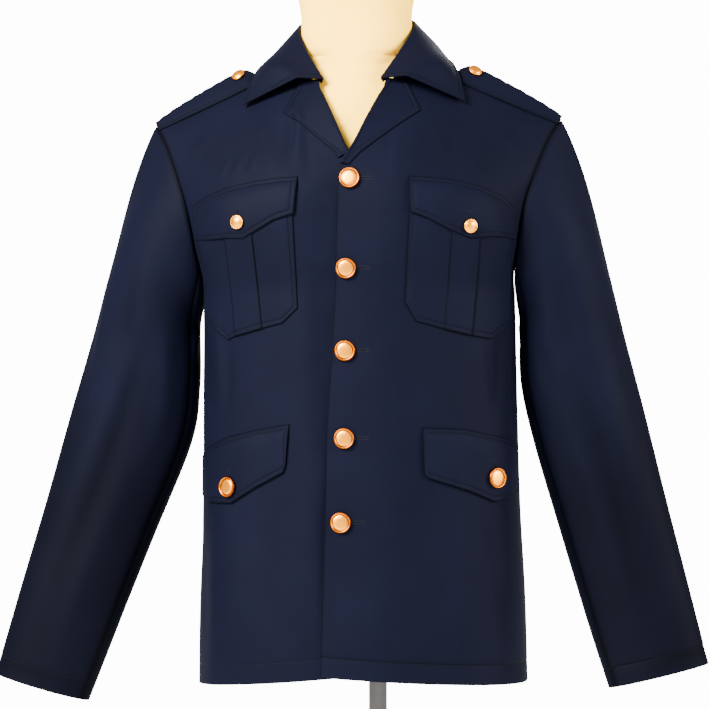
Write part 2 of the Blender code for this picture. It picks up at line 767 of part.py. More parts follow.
def sleeve_normal(key, phi, t):
    around = sleeve(key, phi + 2.0, t) - sleeve(key, phi - 2.0, t)
    along = sleeve(key, phi, min(t + 0.03, 6.0)) - sleeve(key, phi, max(t - 0.03, 0.0))
    return unit(np.cross(around, along))


def sleeve_piece(key, name, first, last, finish, parent):
    side = SIDES[key]
    phi = np.arange(first, last + 1, SLEEVE_STEP, dtype=float)
    phi[0] += SEAM_TURN_GAP
    phi[-1] -= SEAM_TURN_GAP
    rings = HEAD_RINGS + list(between(1.0, 6.0, 11))
    outer = np.array([sleeve(key, phi, t) for t in rings])
    normals = np.array([sleeve_normal(key, phi, t) for t in rings])
    _, panel = armhole(side, phi)
    shared = np.maximum(np.cos(np.radians(phi)), 0.0)[:, None]
    normals[0] = unit(panel * shared + normals[0] * (1 - shared))
    inner = outer - normals * CLOTH
    return add_wall(name, mirrored(outer, side), mirrored(inner, side), finish, parent)


def collar_points():
    """The collar's middle surface: rows along the neck, columns from neck seam to edge."""
    stations = between(0.0, 1.0, COLLAR_STATIONS)
    lines = (COLLAR_SEAM, COLLAR_ROLL, COLLAR_FALL, COLLAR_EDGE)
    seam, roll, middle, edge = (smooth(line, stations) for line in lines)
    outward = unit(roll * np.array([1.0, 1.0, 0.0]))
    down = np.array([0.0, 0.0, -ROLL_HALF])
    inner_roll = roll - outward * ROLL_HALF + down
    outer_roll = roll + outward * ROLL_HALF + down
    columns = [
        seam,
        (seam + inner_roll) / 2,
        inner_roll,
        roll,
        outer_roll,
        outer_roll * 0.5 + middle * 0.5,
        middle,
        middle * 0.5 + edge * 0.5,
        edge,
    ]
    half = np.stack(columns, axis=1)
    return np.concatenate([half[:-1], mirrored(half[::-1], -1.0)])


def collar(finish, parent):
    points = collar_points()
    normals = grid_normals(points) * (COLLAR_CLOTH / 2)
    return add_wall("collar", points + normals, points - normals, finish, parent)


def stations_between(rows, step):
    """Rows of a table with more rows put between those that lie over a step apart."""
    rows = [np.array(r, float) for r in rows]
    out = [rows[0]]
    for a, b in zip(rows, rows[1:]):
        width = max(np.hypot(*(b - a)[:2]), np.hypot(*(b - a)[2:4]))
        count = max(1, math.ceil(width / step))
        out += [a + (b - a) * (i + 1) / count for i in range(count)]
    return np.array(out)


def patch(name, key, rows, place, lift, down, finish, parent):
    """A flat piece on a front: a grid between its top line and its bottom line."""
    side = SIDES[key]
    rows = stations_between(rows, PATCH_STEP)
    share = between(0.0, 1.0, down + 1)[:, None]
    x = rows[:, 0] * (1 - share) + rows[:, 2] * share
    z = rows[:, 1] * (1 - share) + rows[:, 3] * share
    u, v = place(side, x, z)
    out = lap_lift(side, u, v) + LAY_GAP + rows[:, 4] + lift(share)
    outer = on_panel(front, side, u, v, out + CLOTH)
    inner = on_panel(front, side, u, v, out)
    return add_wall(name, outer, inner, finish, parent)


def flap_lift(share):
    """A flap is sewn down along its top and lies over the pocket below it."""
    return FLAP_RISE * ease(share * 3.0)


def flat_lift(share):
    return share * 0.0


def lapel(key, finish, parent):
    """A lapel: rolled over the front's edge, then flat on the front."""
    side = SIDES[key]
    rows = stations_between(LAPELS[key], LAPEL_STEP)
    share = between(0.0, 1.0, 5)
    x = rows[:, :1] * (1 - share) + rows[:, 2:3] * share
    z = rows[:, 1:2] * (1 - share) + rows[:, 3:4] * share
    u, v = spot(side, x, z)
    rise = LAPEL_ROLL_LIFT * (1 - share) ** 2
    out = lap_lift(side, u, v) + LAY_GAP + rise
    outer = on_panel(front, side, u, v, out + CLOTH)
    inner = on_panel(front, side, u, v, out)
    return add_wall(f"lapel_{key}", outer, inner, finish, parent)


def strap_point(side, q, across, out):
    """A point over the shoulder: q along the seam, across in metres, forwards positive."""
    reach = np.abs(across) / (ARMHOLE_RISE + (NECK_RISE - ARMHOLE_RISE) * q)
    ahead = on_panel(front, side, q, 2.0 - reach, out)
    behind = on_panel(back, side, q * SHOULDER_SHARE, 2.0 - reach, out)
    return np.where((across >= 0)[..., None], ahead, behind)


def strap_surface(side, q, across, extra):
    """A strap's points: q along the shoulder seam, across from -1 behind to 1 in front."""
    rows = np.array(EPAULETTE)
    half, crown, ahead, stand = (np.interp(q, rows[:, 0], rows[:, i]) for i in range(1, 5))
    rise = EPAULETTE_CLEAR + crown * (1 - across**2) + stand * half * (1 - across)
    return strap_point(side, q, half * across + ahead, rise + extra)


def strap_grid(side, extra):
    rows = np.array(EPAULETTE)
    q = np.interp(between(0.0, 1.0, 15), between(0.0, 1.0, len(rows)), rows[:, 0])
    q, across = np.meshgrid(q, between(-1.0, 1.0, 7), indexing="ij")
    return strap_surface(side, q, across, extra)


def strap_top(side, q, extra):
    """A point on a strap's middle line and the strap's normal there."""
    q = q + np.array([0.0, 0.03, -0.03, 0.0, 0.0])
    across = np.array([0.0, 0.0, 0.0, 0.35, -0.35])
    here, outer, inner, ahead, behind = strap_surface(side, q, across, extra)
    normal = unit(np.cross(outer - inner, ahead - behind))
    return here, normal * np.sign(normal[2])


def epaulette(key, finish, parent):
    side = SIDES[key]
    outer, inner = strap_grid(side, CLOTH), strap_grid(side, 0.0)
    return add_wall(f"epaulette_{key}", outer, inner, finish, parent)


def button_profile(diameter, height):
    """From the top's middle over the rim to the underside's middle."""
    r, h = diameter / 2, height
    return [
        (0.0, h * 0.92),
        (r * 0.50, h * 0.86),
        (r * 0.78, h * 0.70),
        (r * 0.88, h * 0.86),
        (r, h * 0.55),
        (r * 0.92, h * 0.10),
        (r * 0.80, 0.0),
        (0.0, 0.0),
    ]


def add_button(name, size, point, normal, finish, parent):
    made = add_turned(name, button_profile(*size), BUTTON_SIDES, finish, parent)
    made.location = point
    made.rotation_mode = "QUATERNION"
    from_up = np.array([0.0, 0.0, 1.0])
    axis = np.cross(from_up, normal)
    turn = math.acos(float(np.clip(normal[2], -1.0, 1.0)))
    half = unit(axis) * math.sin(turn / 2)
    made.rotation_quaternion = (math.cos(turn / 2), *half)
    return made


def button_on_front(name, size, side, u, v, out, finish, parent):
    u, v = np.array([float(u)]), np.array([float(v)])
    out = out + lap_lift(side, u, v) + BUTTON_GAP
    point = on_panel(front, side, u, v, out)[0]
    normal = mirrored(panel_normal(front, side, u, v), side)[0]
    return add_button(name, size, point, normal, finish, parent)


def buttons(finish, parent):
    for number, (x, z) in enumerate(FRONT_BUTTONS, start=1):
        u, v = spot(1.0, x, z)
        button_on_front(f"front_button_{number}", BIG_BUTTON, 1.0, u, v, 0.0, finish, parent)
    over_flap = LAY_GAP + FLAP_RISE + CLOTH
    for key, side in SIDES.items():
        u, v = spot(side, *CHEST_BUTTONS[key])
        button_on_front(f"chest_button_{key}", SMALL_BUTTON, side, u, v, over_flap, finish, parent)
        u, v = skirt_spot(side, LOWER_BUTTONS[key][0], LOWER_BUTTONS[key][1])
        button_on_front(f"lower_button_{key}", BIG_BUTTON, side, u, v, over_flap, finish, parent)
        point, normal = strap_top(side, EPAULETTE_BUTTON, CLOTH + BUTTON_GAP)
        add_button(f"epaulette_button_{key}", SMALL_BUTTON, point, normal, finish, parent)


def form(finish, parent):
    """The dress form: a loft of its rings, closed at the neck's top and at the bottom."""
    angle = np.linspace(0.0, 2 * math.pi, FORM_SIDES, endpoint=False)
    bm = bmesh.new()
    rings = []
    for z, half, ahead, behind, power in FORM:
        sine, cosine = np.sin(angle), np.cos(angle)
        x = half * np.sign(sine) * np.abs(sine) ** (2 / power)
        depth = np.where(cosine > 0, -ahead, -behind)
        y = depth * np.sign(cosine) * np.abs(cosine) ** (2 / power)
        rings.append([bm.verts.new((a, b, z)) for a, b in zip(x, y)])
    for low, high in zip(rings, rings[1:]):
        for i in range(FORM_SIDES):
            n = (i + 1) % FORM_SIDES
            bm.faces.new((low[i], low[n], high[n], high[i]))
    bm.faces.new(rings[0])
    bm.faces.new(rings[-1])
    bmesh.ops.recalc_face_normals(bm, faces=bm.faces)
    mesh = bpy.data.meshes.new("form")
    bm.to_mesh(mesh)
    bm.free()
    mesh.shade_smooth()
    mesh.set_sharp_from_angle(angle=math.radians(40))
    return add_object("form", mesh, finish, parent)


def stand(finish):
    foot = BOSS_TOP + SEAM_GAP
    length = HEM_HEIGHT + FORM[0][0] - SEAM_GAP - foot
    bm = bmesh.new()
    bmesh.ops.create_cone(
        bm, cap_ends=True, segments=POLE_SIDES, radius1=POLE_RADIUS, radius2=POLE_RADIUS, depth=length
    )
    mesh = bpy.data.meshes.new("pole")
    bm.to_mesh(mesh)
    bm.free()
    mesh.shade_smooth()
    mesh.set_sharp_from_angle(angle=math.radians(40))
    pole = add_object("pole", mesh, finish, None)
    pole.location = (0.0, 0.0, foot + length / 2)
    base = [
        (0.0, BOSS_TOP),
        (BOSS_RADIUS * 0.85, BOSS_TOP),
        (BOSS_RADIUS, BOSS_TOP - 0.004),
        (BOSS_RADIUS, BASE_TOP + 0.006),
        (BOSS_RADIUS + 0.008, BASE_TOP),
        (BASE_RADIUS * 0.80, BASE_EDGE + 0.004),
        (BASE_RADIUS - 0.004, BASE_EDGE),
        (BASE_RADIUS, BASE_EDGE - 0.004),
        (BASE_RADIUS, 0.0015),
        (BASE_RADIUS - 0.0015, 0.0),
        (0.0, 0.0),
    ]
    add_turned("base", base, BASE_SIDES, finish, None)


def build():
    for old in list(bpy.data.objects):
        bpy.data.objects.remove(old, do_unlink=True)
    collection = bpy.data.collections.new(NAME)
    bpy.context.scene.collection.children.link(collection)
    shirt = bpy.data.objects.new("shirt_frame", None)
    collection.objects.link(shirt)
    shirt.location = (FORM_OFFSET, 0.0, HEM_HEIGHT)
    shirt.rotation_euler = (0.0, FORM_LEAN, 0.0)

    cloth = material("navy_cloth", NAVY, 0.0, 0.75)
    gold = material("gold_metal", GOLD, 1.0, 0.35)
    cream = material("cream_jersey", CREAM, 0.0, 0.85)
    chrome = material("chrome", CHROME, 1.0, 0.15)

    back_panel(cloth, shirt)
    collar(cloth, shirt)
    for key in SIDES:
        front_panel(key, cloth, shirt)
        sleeve_piece(key, f"sleeve_top_{key}", BACK_SEAM - 360, FRONT_SEAM, cloth, shirt)
        sleeve_piece(key, f"sleeve_under_{key}", FRONT_SEAM, BACK_SEAM, cloth, shirt)
        lapel(key, cloth, shirt)
        epaulette(key, cloth, shirt)
        patch(f"chest_pocket_{key}", key, CHEST_POCKETS[key], spot, flat_lift, 8, cloth, shirt)
        patch(f"chest_flap_{key}", key, CHEST_FLAPS[key], spot, flap_lift, 5, cloth, shirt)
        flap = LOWER_FLAPS[key]
        patch(f"lower_flap_{key}", key, flap, skirt_spot, flap_lift, 5, cloth, shirt)
    buttons(gold, shirt)
    form(cream, shirt)
    stand(chrome)


build()
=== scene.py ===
"""Looks of a navy uniform shirt on a cream dress form that stands on a chrome pole.

Metres, +Z up. The shirt's front faces -Y and the wearer's left is +X. The cloth is worked out
in a frame of its own, whose zero height is the side hem, and to_world sets it on the pole.
"""

import math

import bmesh
import bpy
import numpy as np
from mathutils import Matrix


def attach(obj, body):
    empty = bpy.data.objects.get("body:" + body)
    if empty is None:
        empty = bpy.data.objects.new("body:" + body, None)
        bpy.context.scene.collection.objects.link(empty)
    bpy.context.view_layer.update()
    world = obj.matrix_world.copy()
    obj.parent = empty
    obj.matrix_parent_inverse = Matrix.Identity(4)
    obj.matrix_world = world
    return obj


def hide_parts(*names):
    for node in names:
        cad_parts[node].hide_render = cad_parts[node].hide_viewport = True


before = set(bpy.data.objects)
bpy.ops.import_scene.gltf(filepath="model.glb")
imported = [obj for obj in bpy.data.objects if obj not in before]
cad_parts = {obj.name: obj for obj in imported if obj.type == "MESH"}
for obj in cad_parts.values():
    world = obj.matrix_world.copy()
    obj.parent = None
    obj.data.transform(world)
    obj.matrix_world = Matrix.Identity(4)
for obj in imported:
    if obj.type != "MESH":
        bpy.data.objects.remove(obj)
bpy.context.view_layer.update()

# Where the shirt's frame stands, in metres and radians
HEM_HEIGHT = 0.760
FORM_OFFSET = -0.0168
FORM_LEAN = math.radians(-0.6)

# Gap at the seams, what a panel's end keeps of it, and the lap of the fronts
SEAM_GAP = 0.0003
SEAM_TRIM = SEAM_GAP / 2
OVERLAP_LIFT = 0.0038
UNDERLAP_DROP = 0.0008

# Body of the shirt below the underarm, one row a height:
# height, half width, front depth, back depth
UNDERARM = 0.445
BODY = [
    (-0.010, 0.1905, 0.1320, 0.1270),
    (0.100, 0.1885, 0.1310, 0.1240),
    (0.200, 0.1840, 0.1300, 0.1200),
    (0.300, 0.1820, 0.1290, 0.1180),
    (0.400, 0.1808, 0.1285, 0.1220),
    (0.500, 0.1795, 0.1280, 0.1260),
]
FRONT_POWER = 2.35
BACK_POWER = 2.2
HEM_RISE = 0.0165

# Front and back above the underarm, one row a level from the underarm to the shoulder seam,
# after the first level, which the body gives: x, y, z on the wearer's left half
FRONT_ARMHOLE = [
    (0.1785, -0.030, 0.468),
    (0.1845, -0.049, 0.500),
    (0.1895, -0.057, 0.528),
    (0.1955, -0.058, 0.553),
    (0.2035, -0.052, 0.577),
    (0.2125, -0.040, 0.602),
    (0.2235, -0.022, 0.627),
    (0.2365, 0.000, 0.648),
]
FRONT_EDGE = [
    (-0.0150, -0.1315, 0.490),
    (-0.0125, -0.1305, 0.540),
    (-0.0095, -0.1260, 0.584),
    (0.0060, -0.1160, 0.612),
    (0.0210, -0.0990, 0.645),
    (0.0365, -0.0780, 0.676),
    (0.0560, -0.0440, 0.707),
    (0.0715, 0.0000, 0.7265),
]
BACK_ARMHOLE = [
    (0.1785, 0.032, 0.470),
    (0.1860, 0.050, 0.502),
    (0.1920, 0.058, 0.532),
    (0.1980, 0.060, 0.558),
    (0.2050, 0.055, 0.583),
    (0.2135, 0.044, 0.606),
    (0.2240, 0.026, 0.629),
    (0.2365, 0.000, 0.648),
]
CENTRE_BACK = [
    (0.0, 0.1265, 0.480),
    (0.0, 0.1275, 0.520),
    (0.0, 0.1270, 0.560),
    (0.0, 0.1240, 0.600),
    (0.0, 0.1180, 0.640),
    (0.0, 0.1090, 0.677),
    (0.0, 0.0960, 0.711),
    (0.0, 0.0810, 0.7395),
]
BACK_NECKLINE = [
    (0.0, 0.0715, 0.000, 0.7265),
    (0.4, 0.0640, 0.036, 0.7325),
    (0.7, 0.0400, 0.066, 0.7380),
    (1.0, 0.0000, 0.081, 0.7395),
]
# The shoulder seam's share of the back's top edge, how far it bows up, and how soon the
# upper rows take the shape of the top edge
SHOULDER_SHARE = 0.62
SHOULDER_BOW = 0.002
TOP_HOLD = 5
# Cloth's length from the underarm's level to the shoulder seam at its two ends
ARMHOLE_RISE = 0.27
NECK_RISE = 0.41

# Where each front ends past the middle, own side positive: height, x
LAP_EDGE_LEFT = [
    (0.000, -0.0363),
    (0.100, -0.0328),
    (0.190, -0.0298),
    (0.293, -0.0271),
    (0.380, -0.0210),
    (0.445, -0.0165),
]
LAP_EDGE_RIGHT = [(0.000, 0.0060), (0.293, -0.0040), (0.445, -0.0130)]
# Where the overlap rises and the underlap drops across a front, and where both end
LAP_RISE = (0.60, 0.82)
LAP_DROP = (0.75, 0.90)
LAP_TOP = (1.45, 1.90)
# The level above which front and back turn to the seam's own normal
SEAM_TURN = 1.85

# Soft vertical folds, one row a fold: wearer's side (1 left, -1 right, 0 back), share of the
# half girth from the middle at the top and at the foot, top, foot, half width share, height
FOLDS = [
    (-1, 0.36, 0.34, 0.665, 0.560, 0.060, 0.0035),
    (-1, 0.30, 0.14, 0.560, 0.000, 0.100, 0.0030),
    (-1, 0.07, 0.00, 0.330, -0.040, 0.050, -0.0030),
    (-1, 0.88, 0.80, 0.430, 0.280, 0.050, -0.0040),
    (-1, 0.62, 0.66, 0.250, -0.060, 0.090, 0.0040),
    (1, 0.72, 0.66, 0.400, -0.060, 0.080, 0.0030),
    (1, 0.34, 0.42, 0.300, -0.060, 0.070, -0.0030),
    (1, 0.90, 0.86, 0.400, 0.270, 0.045, -0.0035),
    (0, 0.30, 0.34, 0.420, -0.060, 0.090, 0.0045),
    (0, 0.55, 0.62, 0.460, -0.060, 0.080, -0.0050),
    (0, -0.26, -0.36, 0.400, -0.060, 0.090, 0.0045),
    (0, -0.58, -0.64, 0.470, -0.060, 0.080, -0.0045),
]

# Sleeves, one row a section from the biceps to the cuff:
# outer x, outer z, inner x, inner z, middle y, half depth
SLEEVES = {
    "left": [
        (0.2909, 0.4590, 0.1850, 0.4060, 0.012, 0.058),
        (0.3063, 0.3943, 0.1848, 0.3446, 0.014, 0.050),
        (0.3273, 0.3112, 0.1980, 0.2790, 0.014, 0.043),
        (0.3515, 0.2097, 0.2280, 0.1745, 0.008, 0.036),
        (0.3746, 0.1141, 0.2564, 0.0787, -0.002, 0.031),
        (0.3977, 0.0198, 0.2837, -0.0078, -0.012, 0.027),
    ],
    "right": [
        (0.2974, 0.4613, 0.1882, 0.4062, 0.012, 0.058),
        (0.3170, 0.3946, 0.1889, 0.3420, 0.014, 0.050),
        (0.3428, 0.3102, 0.1990, 0.2777, 0.014, 0.043),
        (0.3724, 0.2069, 0.2425, 0.1723, 0.008, 0.036),
        (0.4007, 0.1093, 0.2820, 0.0749, -0.002, 0.031),
        (0.4291, 0.0105, 0.3202, -0.0214, -0.012, 0.027),
    ],
}
# Degrees round a sleeve: its two seams and half the gap at them
FRONT_SEAM = 150
BACK_SEAM = 240
SEAM_TURN_GAP = 0.15
# The way the cloth leaves the armhole: straight down the sleeve at the shoulder, outwards
# before and behind it, and down under the arm
LEAVE_TOP = (0.46, 0.0, -0.888)
LEAVE_OVER = (0.865, 0.0, -0.501)
LEAVE_UNDER = (0.12, 0.0, -1.0)

# Collar, four lines from the gorge to the middle of the back, one row a station:
# station, x, y, z
COLLAR_SEAM = [
    (0.00, 0.0350, -0.0700, 0.6865),
    (0.20, 0.0545, -0.0425, 0.7100),
    (0.40, 0.0690, -0.0060, 0.7290),
    (0.60, 0.0640, 0.0330, 0.7355),
    (0.80, 0.0385, 0.0655, 0.7410),
    (1.00, 0.0000, 0.0800, 0.7425),
]
COLLAR_ROLL = [
    (0.00, 0.0340, -0.0745, 0.6925),
    (0.20, 0.0530, -0.0480, 0.7240),
    (0.40, 0.0672, -0.0090, 0.7530),
    (0.60, 0.0625, 0.0330, 0.7670),
    (0.80, 0.0370, 0.0620, 0.7740),
    (1.00, 0.0000, 0.0740, 0.7760),
]
COLLAR_FALL = [
    (0.00, 0.0621, -0.0750, 0.6930),
    (0.20, 0.0890, -0.0500, 0.7150),
    (0.40, 0.0905, -0.0100, 0.7310),
    (0.60, 0.0840, 0.0430, 0.7440),
    (0.80, 0.0510, 0.0810, 0.7490),
    (1.00, 0.0000, 0.0930, 0.7510),
]
COLLAR_EDGE = [
    (0.00, 0.1280, -0.0560, 0.6640),
    (0.20, 0.1222, -0.0340, 0.6900),
    (0.40, 0.1118, -0.0040, 0.7125),
    (0.60, 0.1035, 0.0560, 0.7110),
    (0.80, 0.0640, 0.0990, 0.7060),
    (1.00, 0.0000, 0.1110, 0.7050),
]
COLLAR_CLOTH = 0.0018
ROLL_HALF = 0.0019

# Lapels, one row a line from the gorge to the break, own side positive:
# roll x, roll z, outer x, outer z
LAPELS = {
    "left": [
        (0.0332, 0.6860, 0.0597, 0.6862),
        (0.0262, 0.6700, 0.0700, 0.6700),
        (0.0190, 0.6540, 0.0781, 0.6530),
        (0.0120, 0.6380, 0.0575, 0.6378),
        (0.0055, 0.6235, 0.0313, 0.6173),
        (-0.0010, 0.6085, 0.0124, 0.6023),
        (-0.0065, 0.5900, 0.0000, 0.5885),
    ],
    "right": [
        (0.0332, 0.6860, 0.0597, 0.6862),
        (0.0262, 0.6700, 0.0700, 0.6700),
        (0.0190, 0.6540, 0.0781, 0.6530),
        (0.0120, 0.6380, 0.0555, 0.6378),
        (0.0060, 0.6235, 0.0300, 0.6165),
        (0.0020, 0.6130, 0.0170, 0.6060),
        (0.0065, 0.6010, 0.0125, 0.5980),
    ],
}

# Pockets and flaps, one row a line across, own side positive:
# top x, top z, bottom x, bottom z, lift added
CHEST_POCKETS = {
    "right": [
        (0.0634, 0.5560, 0.0590, 0.4301, 0.0),
        (0.0770, 0.5560, 0.0771, 0.4132, 0.0),
        (0.1124, 0.5500, 0.0996, 0.4078, 0.0),
        (0.1135, 0.5500, 0.1007, 0.4075, 0.0013),
        (0.1440, 0.5440, 0.1317, 0.3997, 0.0013),
        (0.1451, 0.5440, 0.1328, 0.3994, 0.0),
        (0.1540, 0.5400, 0.1430, 0.3949, 0.0),
        (0.1775, 0.5330, 0.1690, 0.4186, 0.0),
    ],
    "left": [
        (0.0690, 0.5560, 0.0607, 0.4358, 0.0),
        (0.0790, 0.5560, 0.0736, 0.4136, 0.0),
        (0.1168, 0.5500, 0.1034, 0.4049, 0.0),
        (0.1179, 0.5500, 0.1045, 0.4046, 0.0013),
        (0.1478, 0.5440, 0.1330, 0.3975, 0.0013),
        (0.1489, 0.5440, 0.1341, 0.3972, 0.0),
        (0.1600, 0.5400, 0.1544, 0.3931, 0.0),
        (0.1795, 0.5330, 0.1724, 0.4075, 0.0),
    ],
}
CHEST_FLAPS = {
    "right": [
        (0.0571, 0.5776, 0.0615, 0.5357, 0.0),
        (0.0840, 0.5764, 0.0850, 0.5285, 0.0),
        (0.1075, 0.5738, 0.1080, 0.5158, 0.0),
        (0.1200, 0.5712, 0.1198, 0.5094, 0.0),
        (0.1390, 0.5676, 0.1395, 0.5104, 0.0),
        (0.1690, 0.5568, 0.1690, 0.5088, 0.0),
        (0.1832, 0.5480, 0.1800, 0.5095, 0.0),
    ],
    "left": [
        (0.0665, 0.5760, 0.0682, 0.5358, 0.0),
        (0.0900, 0.5750, 0.0881, 0.5286, 0.0),
        (0.1120, 0.5726, 0.1124, 0.5155, 0.0),
        (0.1290, 0.5690, 0.1340, 0.5067, 0.0),
        (0.1458, 0.5650, 0.1600, 0.5093, 0.0),
        (0.1672, 0.5553, 0.1730, 0.5078, 0.0),
        (0.1835, 0.5417, 0.1825, 0.5055, 0.0),
    ],
}
# The lower flaps' x is the distance from the middle along the cloth
LOWER_FLAPS = {
    "right": [
        (0.0697, 0.3000, 0.0737, 0.2550, 0.0),
        (0.0772, 0.2992, 0.0772, 0.2457, 0.0),
        (0.1130, 0.2935, 0.1090, 0.2300, 0.0),
        (0.1500, 0.2858, 0.1435, 0.2104, 0.0),
        (0.1975, 0.2710, 0.1900, 0.2106, 0.0),
        (0.2240, 0.2620, 0.2220, 0.2180, 0.0),
    ],
    "left": [
        (0.0793, 0.2950, 0.0802, 0.2428, 0.0),
        (0.0870, 0.2948, 0.0847, 0.2382, 0.0),
        (0.1300, 0.2924, 0.1330, 0.2224, 0.0),
        (0.1600, 0.2858, 0.1650, 0.2097, 0.0),
        (0.2060, 0.2784, 0.2020, 0.2135, 0.0),
        (0.2320, 0.2725, 0.2330, 0.2190, 0.0),
    ],
}

# Shoulder straps, one row a line from the armhole to the point:
# share of the shoulder seam, half width, lift of the crown, how far it lies ahead of the
# seam and how much its rear side stands off the shoulder
EPAULETTE = [
    (0.004, 0.0200, 0.0006, -0.0060, 0.00),
    (0.060, 0.0205, 0.0022, -0.0045, 0.00),
    (0.150, 0.0206, 0.0036, -0.0020, 0.03),
    (0.330, 0.0204, 0.0046, 0.0030, 0.08),
    (0.500, 0.0200, 0.0046, 0.0080, 0.15),
    (0.640, 0.0190, 0.0040, 0.0110, 0.20),
    (0.680, 0.0120, 0.0036, 0.0115, 0.20),
    (0.705, 0.0035, 0.0034, 0.0120, 0.20),
]
EPAULETTE_CLEAR = 0.0010
EPAULETTE_BUTTON = 0.610

# Buttons: diameter, height and places; the front ones as x, z on the overlapping front
FRONT_BUTTONS = [
    (0.0012, 0.5742),
    (-0.0038, 0.4746),
    (-0.0061, 0.3821),
    (-0.0079, 0.2839),
    (-0.0127, 0.1898),
]
BIG_BUTTON = (0.0235, 0.0042)
SMALL_BUTTON = (0.0158, 0.0046)
CHEST_BUTTONS = {"left": (0.1328, 0.5205), "right": (0.1246, 0.5278)}
LOWER_BUTTONS = {"left": (0.1670, 0.2366), "right": (0.1468, 0.2290)}
BUTTON_GAP = 0.0005

# Dress form, one row a ring: height, half width, front depth, back depth, power
FORM = [
    (0.060, 0.1480, 0.0980, 0.0980, 2.2),
    (0.066, 0.1540, 0.1020, 0.1020, 2.2),
    (0.140, 0.1600, 0.1060, 0.1060, 2.2),
    (0.220, 0.1570, 0.1060, 0.1030, 2.2),
    (0.300, 0.1500, 0.1040, 0.0970, 2.2),
    (0.380, 0.1540, 0.1070, 0.0990, 2.2),
    (0.450, 0.1610, 0.1110, 0.1060, 2.2),
    (0.510, 0.1660, 0.1110, 0.1100, 2.15),
    (0.560, 0.1740, 0.1060, 0.1080, 2.0),
    (0.600, 0.1880, 0.0980, 0.1040, 1.8),
    (0.630, 0.2020, 0.0900, 0.0970, 1.5),
    (0.648, 0.2080, 0.0840, 0.0900, 1.22),
    (0.660, 0.2074, 0.0790, 0.0850, 1.08),
    (0.672, 0.1832, 0.0740, 0.0790, 1.00),
    (0.685, 0.1566, 0.0690, 0.0730, 0.94),
    (0.700, 0.1243, 0.0650, 0.0680, 0.90),
    (0.711, 0.0960, 0.0610, 0.0630, 0.88),
    (0.721, 0.0700, 0.0590, 0.0620, 1.15),
    (0.731, 0.0655, 0.0570, 0.0620, 1.8),
    (0.745, 0.0645, 0.0560, 0.0610, 2.0),
    (0.765, 0.0640, 0.0560, 0.0600, 2.0),
    (0.826, 0.0640, 0.0570, 0.0590, 2.0),
    (0.832, 0.0600, 0.0530, 0.0550, 2.0),
]

# Stand
POLE_RADIUS = 0.0105
BASE_RADIUS = 0.170
BASE_EDGE = 0.010
BASE_TOP = 0.020
BOSS_RADIUS = 0.026
BOSS_TOP = 0.048
# Roundings of the pole's ends and how far its straight side starts from them
POLE_ROUND = 0.0006
POLE_STRAIGHT = 0.004
# Steps of the turned pieces
BUTTON_STEPS = 64
POLE_STEPS = 96
BASE_STEPS = 128

SIDES = {"left": 1.0, "right": -1.0}

# How far above the underarm the panels are drawn in, and the columns that are looked at
SETTLE_SPAN = 0.35
SETTLE_U = np.linspace(0.002, 0.998, 84)
SETTLED = {}

# Finish of the cloth, the colour its painted shade darkens towards, and how much painted shade its
# inside gets
CLOTH_DARK = (0.00120, 0.00136, 0.0042)
CLOTH_LIGHT = (0.00205, 0.00235, 0.0068)
PAINTED_SHADE_COLOUR = (0.0003, 0.0004, 0.0010, 1.0)
INSIDE_SHADE = 0.7
CLOTH_SHEEN = 0.004
CLOTH_GLOSS = 0.02
TWILL_SCALE = 700.0

# Relief of the cloth: ripples, how patches lie and puff, and how flaps and lapels stand off
RIPPLE = 0.0005
PATCH_LAY = 0.0003
PUFF = 0.0003
PUFF_HALF = 0.012
CHEST_FLAP_RISE = 0.0030
LOWER_FLAP_RISE = 0.0018
LAPEL_RISE = 0.0022
STITCH_RISE = 0.0001

# Sleeves: length of a section, girth and the columns' step in degrees
SLEEVE_SECTION = 0.091
SLEEVE_GIRTH = 0.30
SLEEVE_TURN_STEP = 4.5

# The form's cover: columns, rings' step, how round its crest is, and where its neck starts
FORM_FINE_SIDES = 112
FORM_STEP = 0.006
FORM_SOFT = 0.30
NECK_SPAN = (0.722, 0.742)

# Buttonholes: how far they reach from their button's middle, their satin stitches, and the dark
# strips painted as shade in their slits
FRONT_HOLE = 0.0262
CHEST_HOLE = 0.0150
LOWER_HOLE = 0.0190
HOLE_PITCH = 0.0005
HOLE_SLIT = 0.0004
HOLE_STITCH = 0.0015
SLIT_THICK = 0.0009

# Painted shade: darker lower sleeves, a darker wearer's left front, and how much a metre of crease
# darkens the cloth
SLEEVE_PAINTED_SHADE = 0.62
FRONT_PAINTED_SHADE = {"left": 0.16, "right": 0.0}
CREASE_PAINTED_SHADE = 80.0

# Painted shade along seams, folded edges and stitch lines: half widths, and the hem's share; then
# how far a lapel's top is tucked under the collar, and where a patch comes to rest
SEAM_SHADE = 0.0024
EDGE_SHADE = 0.0015
STITCH_SHADE = 0.0011
HEM_DEPTH = {"left": 1.0, "right": 0.25}
LAPEL_TUCK = 0.0045
FLAP_REST = (0.70, 0.98)

# The photograph's view: a level camera a little to the wearer's left
VIEW_DISTANCE = 3.6
VIEW_WIDTH = 0.8236
VIEW_TURN = math.radians(4.8)
VIEW_X = -0.0267
VIEW_HEIGHT = 1.1376

# Floor and studio light: half the floor's side, the world as light and as it is seen, and
# the lamps' names, places, aims, sizes and powers
FLOOR_HALF = 6.0
WORLD_LIGHT = 1.0
WORLD_SEEN = 14.0
LIGHTS = [
    ("key", (-1.9, -2.7, 3.0), (0.0, 0.0, 1.2), 1.5, 1050.0),
    ("fill", (3.2, -1.2, 2.1), (0.0, 0.0, 1.2), 1.6, 380.0),
    ("back", (0.5, 3.0, 2.6), (0.0, 0.0, 1.1), 1.8, 60.0),
]

